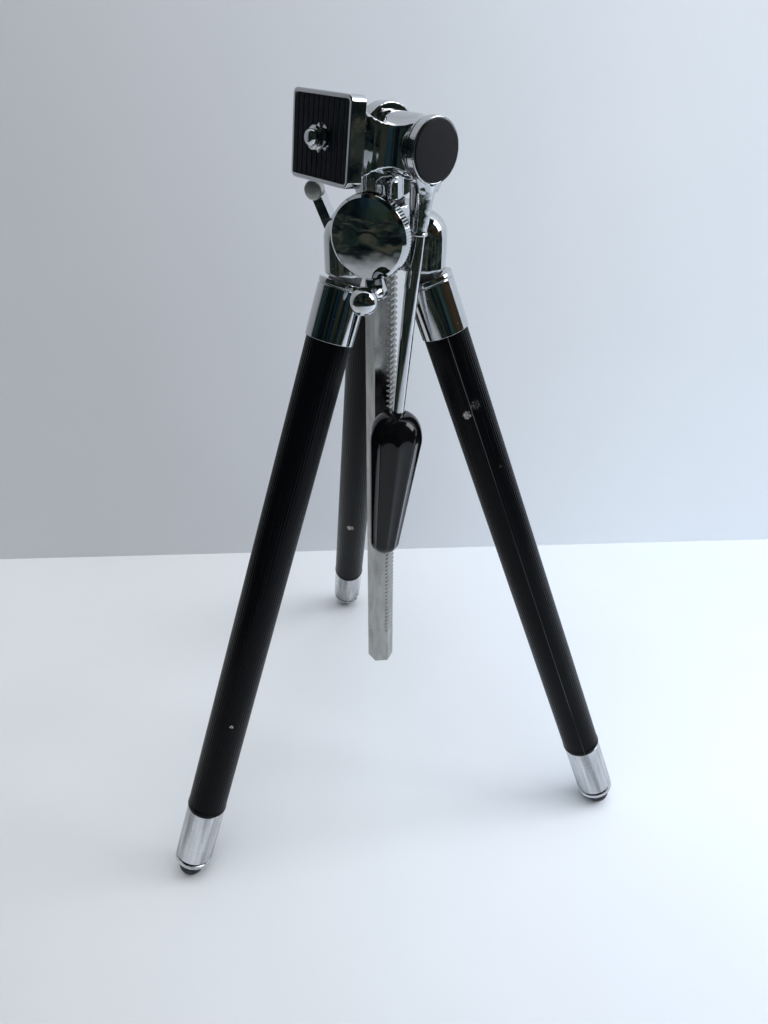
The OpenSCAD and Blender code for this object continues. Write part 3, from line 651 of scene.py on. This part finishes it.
for piece in (wheel, arm):
    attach(piece, "crank")
    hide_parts("crank_wheel")


# ---- Crank knob --------------------------------------------------------------------------
# Turned brass ball on a short waisted stem, chrome plated and riveted through the lug.
BALL_R = 3.9
BALL_MID = LUG_FRONT + 8
RIVET_R = 1.2
FOOT_R = 2.2
WAIST_R = 1.5
knob = made("ball_knob", turned(
    [(0, LUG_BACK), (RIVET_R, LUG_BACK), (RIVET_R, LUG_FRONT), (FOOT_R, LUG_FRONT),
     (FOOT_R + 0.1, LUG_FRONT + 0.15), (FOOT_R, LUG_FRONT + 0.5), (WAIST_R + 0.25, LUG_FRONT + 1.8),
     (WAIST_R, LUG_FRONT + 3.2)]
    + arc((0, BALL_MID), BALL_R, -66, 90, 28)[:-1] + [(0, BALL_MID + BALL_R)], 64),
    crank_place @ Matrix.Translation((*LUG, 0)))
coat(knob, turned_chrome)
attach(knob, "crank")
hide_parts("crank_knob")


# ---- Lock lever --------------------------------------------------------------------------
# Chrome-plated lever on the lock bolt, bent up beside the wheel and ending in a round
# finger pad. It draws the housing's two ears together on the column.
LEVER_L = 16.5
LEVER_BACK = 1.3
LEVER_FRONT = 5.3
LEVER_UP = 115.5
LEVER_R = 1.75
LEVER_END_R = 1.6
BOLT_HEAD_R = 3.1
PAD_BACK = 2.9
PAD_R = 2.9
lever_place = gear_frame("lock_turn") @ Matrix.Rotation(math.radians(LEVER_UP), 4, "Z")
bm = bmesh.new()
rod_between(bm, (0, 0, LEVER_BACK), (0, 0, LEVER_FRONT), BOLT_HEAD_R)
arm = rod_between(bm, (0, 0, LEVER_BACK), (0, 0, LEVER_FRONT - 0.1), LEVER_R)
arm += rod_between(bm, (LEVER_L, 0, LEVER_BACK + 0.1), (LEVER_L, 0, LEVER_FRONT - 0.1),
                   LEVER_END_R)
wrapped(bm, arm)
lever = made("lock_handle", bm, lever_place, rounding=0.35, steps=3)
coat(lever, cast_chrome)
button = made("finger_pad", turned(
    [(0, PAD_BACK), (PAD_R - 0.5, PAD_BACK)] + arc((PAD_R - 0.5, PAD_BACK + 0.5), 0.5, -90, 0, 4)
    + arc((PAD_R - 0.7, LEVER_FRONT + 0.1), 0.7, 0, 75, 5)
    + [(1.2, LEVER_FRONT + 0.95), (0, LEVER_FRONT + 1.05)], 64),
    lever_place @ Matrix.Translation((LEVER_L, 0, 0)))
coat(button, worn_steel("chrome plate rubbed down to grey nickel", "cfd0cd", "8f908c", 0.34, 0.55))
for piece in (lever, button):
    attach(piece, "lock")
    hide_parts("lock_lever")


# ---- Pan base ----------------------------------------------------------------------------
# Chrome-plated casting that turns on the column. A round post with a flat upright ear, which
# holds the tilt axle. Its corners are soft and its plate is pitted.
post = made("cast_pan_base", melted(casting(["pan_base"], METRES), grain=0.25, passes=16),
            METRES)
coat(post, cast_chrome)
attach(post, "pan_head")
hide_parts("pan_base")


# ---- Camera plate ------------------------------------------------------------------------
# Chrome-plated casting. A square tray for the pad, and behind it a waisted neck that widens
# into a round cheek and a round barrel on the tilt axle, either side of the pan base's ear.
head_place = seat(joints["plate_tilt"]["pos_m"], joints["mount_screw_turn"]["axis"],
                  joints["plate_tilt"]["axis"])
ACROSS = Matrix.Rotation(math.radians(90), 4, "Y")


def lofted(bm, sections):
    """Block with a skin over oblong sections, each (height, left, right, half its depth)."""
    loop = [bm.verts.new((0, 0, 0)) for _ in range(4)]
    edges = first = [bm.edges.new(pair) for pair in zip(loop, loop[1:] + loop[:1])]
    for k, (height, left, right, half) in enumerate(sections):
        if k:
            grown = bmesh.ops.extrude_edge_only(bm, edges=edges)["geom"]
            edges = [g for g in grown if isinstance(g, bmesh.types.BMEdge)
                     and not any(v in loop for v in g.verts)]
            order = {old: next(e.other_vert(old) for e in old.link_edges
                               if e.other_vert(old) in grown) for old in loop}
            loop = [order[old] for old in loop]
        for v, (x, y) in zip(loop, ((left, -half), (right, -half), (right, half), (left, half))):
            v.co = (x, y, height)
    bmesh.ops.edgeloop_fill(bm, edges=first)
    bmesh.ops.edgeloop_fill(bm, edges=edges)


def joined(bm, part):
    """Moves another drawing into this one."""
    mesh = bpy.data.meshes.new("part of a drawing")
    part.to_mesh(mesh)
    part.free()
    bm.from_mesh(mesh)
    bpy.data.meshes.remove(mesh)


TRAY_LOW = Vector((-10.3, -10.6, 19.0))
TRAY_HIGH = Vector((14.7, 11.6, 24.0))
TRAY_CORNER = 1.8
RIM = 1.1
PAD_T = 1.5
bm = bmesh.new()
bmesh.ops.create_cube(bm, size=1, matrix=Matrix.Translation((TRAY_LOW + TRAY_HIGH) / 2)
                      @ Matrix.Diagonal((*(TRAY_HIGH - TRAY_LOW), 1)))
corners = [e for e in bm.edges if abs(e.verts[0].co.z - e.verts[1].co.z) > 1]
bmesh.ops.bevel(bm, geom=corners, offset=TRAY_CORNER, segments=6, profile=0.5, affect="EDGES",
                material=-1)
face = max(bm.faces, key=lambda f: f.calc_center_median().z)
bmesh.ops.inset_region(bm, faces=[face], thickness=RIM, use_even_offset=True)
bmesh.ops.inset_region(bm, faces=[face], thickness=0.02, depth=-PAD_T, use_even_offset=True)
tray = made("plate_tray", bm, head_place, rounding=0.25, steps=3)
coat(tray, cast_chrome)

# The neck's levels, from the tray to the axle: (height, right side, half its depth). It is
# one block at the axle, and two walls beside the slot for the screw's knob at the tray.
LEVELS = [(19.1, 14.3, 8.0), (17, 14.0, 7.3), (15.3, 13.9, 6.6), (13, 14.0, 5.8),
          (11, 14.5, 5.35), (9.5, 15.2, 5.2), (8.4, 16.2, 5.3), (7.4, 17.4, 5.6),
          (6, 18.6, 6.2), (4.6, 19.1, 6.9)]
CHEEK = (-9.9, -1.3)
BARREL = (3.9, 19.2)
SLOT = (-7.3, 11.8)
CHEEK_R = 8.4
AXLE_BORE = 3.55
bm = bmesh.new()
lofted(bm, [(z, BARREL[0], right, half) for z, right, half in LEVELS[2:]])
lofted(bm, [(z, SLOT[1], right, half) for z, right, half in LEVELS[:4]])
lofted(bm, [(z, CHEEK[0] - 0.1, SLOT[0], half) for z, right, half in LEVELS[:4]])
lofted(bm, [(z, *CHEEK, half) for z, right, half in LEVELS[2:]])
lofted(bm, [(z, CHEEK[0], 6.0, half) for z, half in ((15.3, 6.6), (13, 5.8), (12.2, 5.6))])
barrel = [(AXLE_BORE, BARREL[0]), (CHEEK_R, BARREL[0]), (CHEEK_R, 14), (CHEEK_R - 0.2, 15.5),
          (CHEEK_R - 0.3, 17), (CHEEK_R - 0.15, 18.2), (CHEEK_R + 0.1, BARREL[1]),
          (AXLE_BORE, BARREL[1])]
cheek = [(AXLE_BORE, CHEEK[0]), (CHEEK_R, CHEEK[0]), (CHEEK_R, CHEEK[1]), (AXLE_BORE, CHEEK[1])]
for profile in (barrel, cheek):
    part = turned(profile, closed=True)
    part.transform(ACROSS)
    joined(bm, part)
bmesh.ops.recalc_face_normals(bm, faces=bm.faces)
neck = made("plate_neck", melted(bm, grain=0.24, passes=6), head_place)
coat(neck, cast_chrome)
for piece in (tray, neck):
    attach(piece, "plate")
    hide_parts("plate_casting")


# ---- Plate pad ---------------------------------------------------------------------------
# Moulded black rubber sheet with upright ribs that grip the camera's base. Polished by use
# on its crests, with grey dust caught in the grooves.
CREST = 23.8
ribbed, tree, shader = surface("ribbed rubber pad", "060709", 0, 0.35)
shader.inputs["Specular IOR Level"].default_value = 0.12
drawing = own_mm(tree)
axes = add(tree, "ShaderNodeSeparateXYZ", {"Vector": drawing})
sunk = ranged(tree, axes.outputs["Z"], CREST, CREST - 0.3)
dust = noise(tree, drawing, 0.8, 6.0, 0.7)
crest = blended(tree, dust, "030406", "0a0c11")
film = blended(tree, dust, "1a2029", "363d47")
tone = blended(tree, sunk, crest, film)
rough = ranged(tree, dust, 0.3, 0.7, 0.25, 0.45)
grain = noise(tree, drawing, 5.0, 3.0)
bump = bumped(tree, grain, 0.00001, strength=0.5)
wired(tree, shader, tone, rough, bump)
pad = made("ribbed_pad", casting(["plate_pad"], head_place), head_place, rounding=0.14)
coat(pad, ribbed)
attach(pad, "plate")
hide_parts("plate_pad")


# ---- Camera screw, its knob and its clip -------------------------------------------------
# Camera screw with two turns of thread and a rounded end. It is turned with a knurled knob
# in the plate's slot and kept in the plate by a pointed spring clip.
PLATE_MID = (2.2, 0.5)
KNOB_BACK = 15.6
KNOB_FRONT = KNOB_BACK + 3.1
KNOB_R = 9.2
KNOB_RIDGES = 60
THREAD_FROM = 23.7
THREAD_END = 28.2
THREAD_R = 3.0
ROOT_R = 2.4
TIP_ROUND = 1.45
PITCH = 1.27
TURNS = 2
STEPS = 64
screw_place = head_place @ Matrix.Translation((*PLATE_MID, 0))
bm = turned([(0, KNOB_BACK), (ROOT_R, KNOB_BACK), (ROOT_R, THREAD_END - 1.6),
             (ROOT_R - 0.2, THREAD_END - 1.5)]
            + arc((0.75, THREAD_END - TIP_ROUND), TIP_ROUND, 0, 78) + [(0, THREAD_END)], STEPS)
tooth = [bm.verts.new((r, 0, THREAD_FROM + z)) for r, z in
         ((ROOT_R - 0.1, 0), (THREAD_R, 0.3), (THREAD_R, 0.48), (ROOT_R - 0.1, 0.8))]
section = [bm.edges.new(pair) for pair in zip(tooth, tooth[1:] + tooth[:1])]
last = bmesh.ops.spin(bm, geom=tooth + section, cent=(0, 0, 0), axis=(0, 0, 1),
                      dvec=(0, 0, PITCH / STEPS), angle=2 * math.pi * TURNS, steps=STEPS * TURNS)
ends = [g for g in last["geom_last"] if isinstance(g, bmesh.types.BMEdge)]
bmesh.ops.edgeloop_fill(bm, edges=section)
bmesh.ops.edgeloop_fill(bm, edges=ends)
bmesh.ops.recalc_face_normals(bm, faces=bm.faces)
screw = made("threaded_camera_screw", bm, screw_place)
coat(screw, turned_chrome)

knob = made("knurled_screw_knob", drum(
    [(KNOB_BACK, ROOT_R, 0), (KNOB_BACK, KNOB_R - 0.4, 0),
     (KNOB_BACK + 0.2, KNOB_R - 0.15, KNURL / 2), (KNOB_BACK + 0.4, KNOB_R, KNURL),
     (KNOB_FRONT - 0.4, KNOB_R, KNURL), (KNOB_FRONT - 0.2, KNOB_R - 0.15, KNURL / 2),
     (KNOB_FRONT, KNOB_R - 0.4, 0), (KNOB_FRONT, ROOT_R, 0)], KNOB_RIDGES, bored=True),
    screw_place)
coat(knob, turned_chrome)

CLIP_AT = 24.1
CLIP_T = 0.4
POINT = 3.7
CLIP_W = 3.3
FLANK = 0.7
bm = bmesh.new()
points = [bm.verts.new((x, y, CLIP_AT)) for x, y in
          ((0, POINT), (-CLIP_W, FLANK), (-CLIP_W, -FLANK), (0, -POINT), (CLIP_W, -FLANK),
           (CLIP_W, FLANK))]
outline = [bm.edges.new(pair) for pair in zip(points, points[1:] + points[:1])]
bmesh.ops.subdivide_edges(bm, edges=outline, cuts=7)
outline = bm.edges[:]
hole = bmesh.ops.create_circle(bm, segments=48, radius=ROOT_R + 0.08)["verts"]
bmesh.ops.translate(bm, vec=(0, 0, CLIP_AT), verts=hole)
inner = [e for e in bm.edges if e.verts[0] in hole and e.verts[1] in hole]
sheet = bmesh.ops.bridge_loops(bm, edges=outline + inner)["faces"]
lifted = bmesh.ops.extrude_face_region(bm, geom=sheet)["geom"]
bmesh.ops.translate(bm, vec=(0, 0, CLIP_T),
                    verts=[g for g in lifted if isinstance(g, bmesh.types.BMVert)])
bmesh.ops.recalc_face_normals(bm, faces=bm.faces)
clip = made("pointed_clip", bm, screw_place, rounding=0.08)
coat(clip, turned_chrome)
for piece, node, body in ((screw, "camera_screw", "mount_screw"),
                          (knob, "screw_knob", "mount_screw"), (clip, "screw_clip", "plate")):
    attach(piece, body)
    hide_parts(node)


# ---- Handle hub --------------------------------------------------------------------------
# Chrome-plated casting: a round hub on the tilt axle, recessed for its black cap, with a
# flared and tapered socket below that ends in a small raised lip round the handle's rod.
EYE_IN = 19.4
EYE_OUT = 22.4
EYE_R = 8.65
EYE_BACK_ROUND = 0.5
EYE_FRONT_ROUND = 0.32
CAP_R = 8.0
CAP_T = 1.5
HANDLE_OFF = 18.5
HANDLE_STEPS = 72
ROD_IN = 12
SOCKET_BORE = 2.3
SOCKET_TAPER = [(3.95, 8.5), (4.0, 8.7), (3.8, 9.4), (3.65, 10.2), (3.5, 11.4), (3.38, 12.4),
                (3.0, 16.5), (2.6, 21.3)]
LIP_END = 22.4
LIP_R = 2.9
FLARE = [(0, 4.5), (6.6, 4.5), (5.9, 6.4), (4.9, 8.0), (4.2, 9.2), (3.8, 10.6), (0, 10.6)]
FLARE_OUT = 2.4
FLARE_FLAT = 0.22
axle_place = head_place @ ACROSS
rod_place = (head_place @ Matrix.Translation((HANDLE_OFF, 0, 0))
             @ Matrix.Rotation(math.radians(90), 4, "X"))
bm = turned([(AXLE_BORE, EYE_IN), (EYE_R - EYE_BACK_ROUND, EYE_IN)]
            + arc((EYE_R - EYE_BACK_ROUND, EYE_IN + EYE_BACK_ROUND), EYE_BACK_ROUND, -90, 0, 5)
            + arc((EYE_R - EYE_FRONT_ROUND, EYE_OUT - EYE_FRONT_ROUND), EYE_FRONT_ROUND, 0, 90, 5)
            + [(CAP_R, EYE_OUT), (CAP_R, EYE_OUT - CAP_T), (AXLE_BORE, EYE_OUT - CAP_T)],
            128, closed=True)
bm.transform(Matrix.Translation((-HANDLE_OFF, 0, 0)) @ ACROSS)
bm.transform(Matrix.Rotation(math.radians(-90), 4, "X"))
joined(bm, turned([(0, SOCKET_TAPER[0][1])] + SOCKET_TAPER
                  + [(2.62, LIP_END - 0.9), (LIP_R - 0.05, LIP_END - 0.7), (LIP_R, LIP_END - 0.5),
                     (LIP_R, LIP_END - 0.2), (LIP_R - 0.1, LIP_END), (SOCKET_BORE, LIP_END),
                     (SOCKET_BORE, ROD_IN), (0, ROD_IN)], HANDLE_STEPS))
flare = turned(FLARE, HANDLE_STEPS)
flare.transform(Matrix.Translation((FLARE_OUT, 0, 0)) @ Matrix.Diagonal((FLARE_FLAT, 1, 1, 1)))
joined(bm, flare)
hub = made("handle_eye", melted(bm, grain=0.18, passes=5), rod_place)
coat(hub, chrome_plate("pitted chrome plate on the handle's casting", haze=0.3, waviness=0.00003,
                       pits=0.9))
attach(hub, "handle")
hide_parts("handle_hub")


# ---- Hub cap -----------------------------------------------------------------------------
# Black disc pressed into the hub's recess. Matt, with a fine leather-like grain and a few
# paler rubbed patches.
disc, tree, shader = surface("matt black disc", "16161b", 0, 0.55)
shader.inputs["Specular IOR Level"].default_value = 0.25
drawing = own_mm(tree)
rub = noise(tree, drawing, 0.35, 6.0, 0.6)
tone = blended(tree, rub, "0a0a0e", "17171c")
grain = add(tree, "ShaderNodeTexVoronoi", {"Vector": drawing, "Scale": 3.5})
rough = ranged(tree, rub, 0.3, 0.7, 0.5, 0.68)
bump = bumped(tree, grain.outputs["Distance"], 0.00002, strength=0.6)
wired(tree, shader, tone, rough, bump)
CAP_ROUND = 0.25
cap = made("hub_disc", turned(
    [(0, EYE_OUT - CAP_T), (CAP_R - 0.05, EYE_OUT - CAP_T)]
    + arc((CAP_R - 0.05 - CAP_ROUND, EYE_OUT), CAP_ROUND, 0, 90, 4)
    + [(CAP_R / 2, EYE_OUT + 0.29), (0, EYE_OUT + 0.3)], 128), axle_place)
coat(cap, disc)
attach(cap, "handle")
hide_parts("hub_cap")


# ---- Handle rod --------------------------------------------------------------------------
# Slim chrome-plated steel rod, tapered slightly towards its lower end. The grip is moulded
# on that end, so the last stretch of the rod is inside it.
ROD_END = 97
GRIP_TOP = 77.0
rod = made("tapered_rod", turned(
    [(0, ROD_IN), (SOCKET_BORE - 0.02, ROD_IN), (SOCKET_BORE - 0.02, LIP_END),
     (2.25, LIP_END + 1.6), (1.95, GRIP_TOP), (1.85, ROD_END), (0, ROD_END)], HANDLE_STEPS),
    rod_place)
coat(rod, chrome_plate("chrome plate on steel rod", haze=0.1, waviness=0.000004, pits=0.08))
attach(rod, "handle")
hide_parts("handle_rod")


# ---- Grip --------------------------------------------------------------------------------
# Fluted black grip of moulded phenolic resin. Polished, so each flute carries a narrow bright
# streak, with fine handling scratches and patches of duller polish.
resin, tree, shader = surface("polished black phenolic", "050507", 0, 0.08)
shader.inputs["IOR"].default_value = 1.58
shader.inputs["Specular IOR Level"].default_value = 0.3
drawing = own_mm(tree)
rub = noise(tree, drawing, 0.25, 6.0, 0.65)
rough = ranged(tree, rub, 0.35, 0.75, 0.05, 0.2)
tone = blended(tree, rub, "040405", "0b0b0e")
strokes = scaled(tree, drawing, (5.0, 5.0, 0.4), (0.2, 0.1, 0.0))
scratch = noise(tree, strokes, 1.0, 4.0)
bump = bumped(tree, scratch, 0.0000025)
wired(tree, shader, tone, rough, bump)

GRIP_R = 8.8
GRIP_END_R = 5.2
GRIP_HOLE = 2.0
COLLAR_R = 2.4
SHOULDER = 9.0
BODY = 39.0
CROWN = 5
FLUTES = 10
FLUTE_POINTS = 16
FLUTE_DEEP = 0.55
FLUTE_THIN = 0.15
FLUTE_WIDE = 0.72
flute = [max(0.0, 1 - (2 * k / FLUTE_POINTS - 1) ** 2 / FLUTE_WIDE) for k in range(FLUTE_POINTS)]
rings = [(GRIP_TOP + 1, GRIP_HOLE, 0), (GRIP_TOP + 0.2, GRIP_HOLE, 0)]
for degrees in range(0, 95, 5):
    a = math.radians(degrees)
    fade = min(1, max(0, (degrees - 50) / 40)) ** 1.5
    rings.append((GRIP_TOP + SHOULDER * (1 - math.cos(a)),
                  COLLAR_R + (GRIP_R - COLLAR_R) * math.sin(a), FLUTE_DEEP * fade))
for k in range(1, 14):
    rings.append((GRIP_TOP + SHOULDER + BODY * k / 13, GRIP_R + (GRIP_END_R - GRIP_R) * k / 13,
                  FLUTE_DEEP - FLUTE_THIN * k / 13))
for degrees in range(5, 90, 5):
    a = math.radians(degrees)
    rings.append((GRIP_TOP + SHOULDER + BODY + CROWN * math.sin(a), GRIP_END_R * math.cos(a),
                  (FLUTE_DEEP - FLUTE_THIN) * max(0, 1 - degrees / 35)))
grip = made("fluted_grip", drum(rings, FLUTES, flute), rod_place)
coat(grip, resin)
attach(grip, "handle")
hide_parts("handle_grip")


# ---- Studio ------------------------------------------------------------------------------
# Pale painted table and wall, a window to the right and a wide soft ceiling light. Both carry
# painted light, paler towards the window, and the table has painted shade towards its front. Only
# the mirrors see the room's dim colours, and a painted reflection of a dark floor that the table
# shows them beyond its edges.
def stage_plane(name, corners, material):
    """Flat piece of the studio, drawn in metres."""
    bm = bmesh.new()
    bm.faces.new([bm.verts.new(c) for c in corners])
    mesh = bpy.data.meshes.new(name)
    bm.to_mesh(mesh)
    bm.free()
    plane = bpy.data.objects.new(name, mesh)
    scene.collection.objects.link(plane)
    coat(plane, material)
    return plane


scene.view_settings.view_transform = "Standard"
scene.view_settings.look = "None"
HEADING = math.radians(90 + PAN)
heading = Vector((math.cos(HEADING), math.sin(HEADING), 0))
aside = Vector((heading.y, -heading.x, 0))
MIDDLE = Vector((0, 0, 0.12))


def dimmed(tree, colour, level):
    """A colour times a number."""
    return add(tree, "ShaderNodeVectorMath", {0: colour, "Scale": level},
               operation="SCALE").outputs["Vector"]


def painted(name, shaded, lit, roughness, size):
    """Matt white paint with painted light: its colour runs from the shaded colour, away from the
    window, to the lit colour on the window's side, and painted shade darkens it towards the front.
    The size is how closely its mottling is drawn."""
    material, tree, shader = surface(name, lit, 0, roughness)
    place = add(tree, "ShaderNodeTexCoord").outputs["Object"]
    mottle = noise(tree, place, size, 5.0)
    # Painted light: lit colour towards the window, shaded colour away from it.
    side = measured(tree, place, tuple(aside))
    window_side_painted_light = ranged(tree, side, -0.2, 0.22, interpolation_type="SMOOTHSTEP")
    tone = blended(tree, window_side_painted_light, shaded, lit)
    shade = ranged(tree, mottle, 0.3, 0.7, 0.95, 1.04)
    # Painted shade: darker towards the front.
    front = measured(tree, place, tuple(-heading))
    near = ranged(tree, front, 0.03, 0.2, 1.0, 0.76)
    level = worked(tree, "MULTIPLY", shade, near)
    tree.links.new(dimmed(tree, tone, level), shader.inputs["Base Color"])
    return material, tree, shader, place


def covered(tree, share, under, over):
    """Shows the second look over the first, by a share."""
    blend = add(tree, "ShaderNodeMixShader", {"Fac": share, 1: under, 2: over})
    tree.links.new(blend.outputs["Shader"], tree.nodes["Material Output"].inputs["Surface"])


REFLECTION_ROUND_EDGE = (0.62, 0.74)
REFLECTION_FRONT_EDGE = (0.46, 0.6)
# The board's colour carries painted light from the window and painted shade in front.
table, tree, shader, place = painted("white painted board", "bfc2c5", "c8d0d9",
                                     roughness=0.55, size=4.0)
# Painted reflection: to mirror rays only, the table glows faintly in dark, blotched room colours
# past a round edge and a front edge.
far = add(tree, "ShaderNodeVectorMath", {0: place}, operation="LENGTH")
rim = ranged(tree, far.outputs["Value"], *REFLECTION_ROUND_EDGE)
ahead = measured(tree, place, tuple(heading * -0.55 + aside * -0.83))
reflection_edge = worked(tree, "MAXIMUM", rim, ranged(tree, ahead, *REFLECTION_FRONT_EDGE))
path = add(tree, "ShaderNodeLightPath")
mirrored = worked(tree, "MULTIPLY", reflection_edge, path.outputs["Is Glossy Ray"])
reflected_room_blots = noise(tree, place, 5.0, 3.0)
reflected_room_hue = ramped(tree, reflected_room_blots, (0.4, "0d1216"), (0.52, "22302c"), (0.64, "4b4a40"))
dark = add(tree, "ShaderNodeEmission", {"Color": reflected_room_hue, "Strength": 1.0})
covered(tree, mirrored, shader.outputs["BSDF"], dark.outputs["Emission"])
HALF = 2
stage_plane("table", [(-HALF, -HALF, 0), (HALF, -HALF, 0), (HALF, HALF, 0), (-HALF, HALF, 0)],
            table)

# The wall's colour carries painted light, paler towards the window.
wall, tree, shader, place = painted("white painted wall", "c6c9ce", "ecf3fa",
                                    roughness=0.7, size=3.0)
behind = add(tree, "ShaderNodeNewGeometry")
clear = add(tree, "ShaderNodeBsdfTransparent")
covered(tree, behind.outputs["Backfacing"], shader.outputs["BSDF"], clear.outputs["BSDF"])
WALL_AWAY = 0.148
WALL_TURN = math.radians(3)
foot = heading * WALL_AWAY
along = Matrix.Rotation(WALL_TURN, 3, "Z") @ aside * HALF
rise = Vector((0, 0, HALF))
backdrop = stage_plane("wall", [foot - along, foot + along, foot + along + rise,
                                foot - along + rise], wall)
backdrop.visible_shadow = False


def softbox(name, position, size, power, colour, mirrored=True):
    """Soft lamp aimed at the tripod's middle; size in metres, power in watts."""
    data = bpy.data.lights.new(name, "AREA")
    data.shape = "RECTANGLE"
    data.size, data.size_y = size
    data.energy = power
    data.color = linear(colour)[:3]
    lamp = bpy.data.objects.new(name, data)
    lamp.location = position
    lamp.rotation_euler = (MIDDLE - position).to_track_quat("-Z", "Y").to_euler()
    lamp.visible_glossy = mirrored
    lamp.visible_camera = False
    scene.collection.objects.link(lamp)


WINDOW_AT = aside * 1.2 + heading * 0.1 + Vector((0, 0, 0.95))
CEILING_AT = Vector((0, 0, 1.35)) - heading * 0.25 + aside * 0.15
softbox("window", WINDOW_AT, size=(0.7, 0.9), power=12, colour="fbfcff")
softbox("ceiling", CEILING_AT, size=(1.4, 1.4), power=21, colour="ffffff", mirrored=False)

world = bpy.data.worlds.new("room")
scene.world = world
world.use_nodes = True
tree = world.node_tree
shell = tree.nodes["Background"]
place = add(tree, "ShaderNodeTexCoord").outputs["Generated"]
clouds = noise(tree, place, 3.0, 4.0)
hues = noise(tree, place, 1.7, 2.0)
depth = ranged(tree, clouds, 0.42, 0.68, 0.1, 1.0)
tint = ramped(tree, hues, (0.36, "3b5a72"), (0.5, "4f6656"), (0.64, "6a5c4c"))
path = add(tree, "ShaderNodeLightPath")
seen = blended(tree, path.outputs["Is Glossy Ray"], "d4d6da", dimmed(tree, tint, depth))
tree.links.new(seen, shell.inputs["Color"])
shell.inputs["Strength"].default_value = 0.44
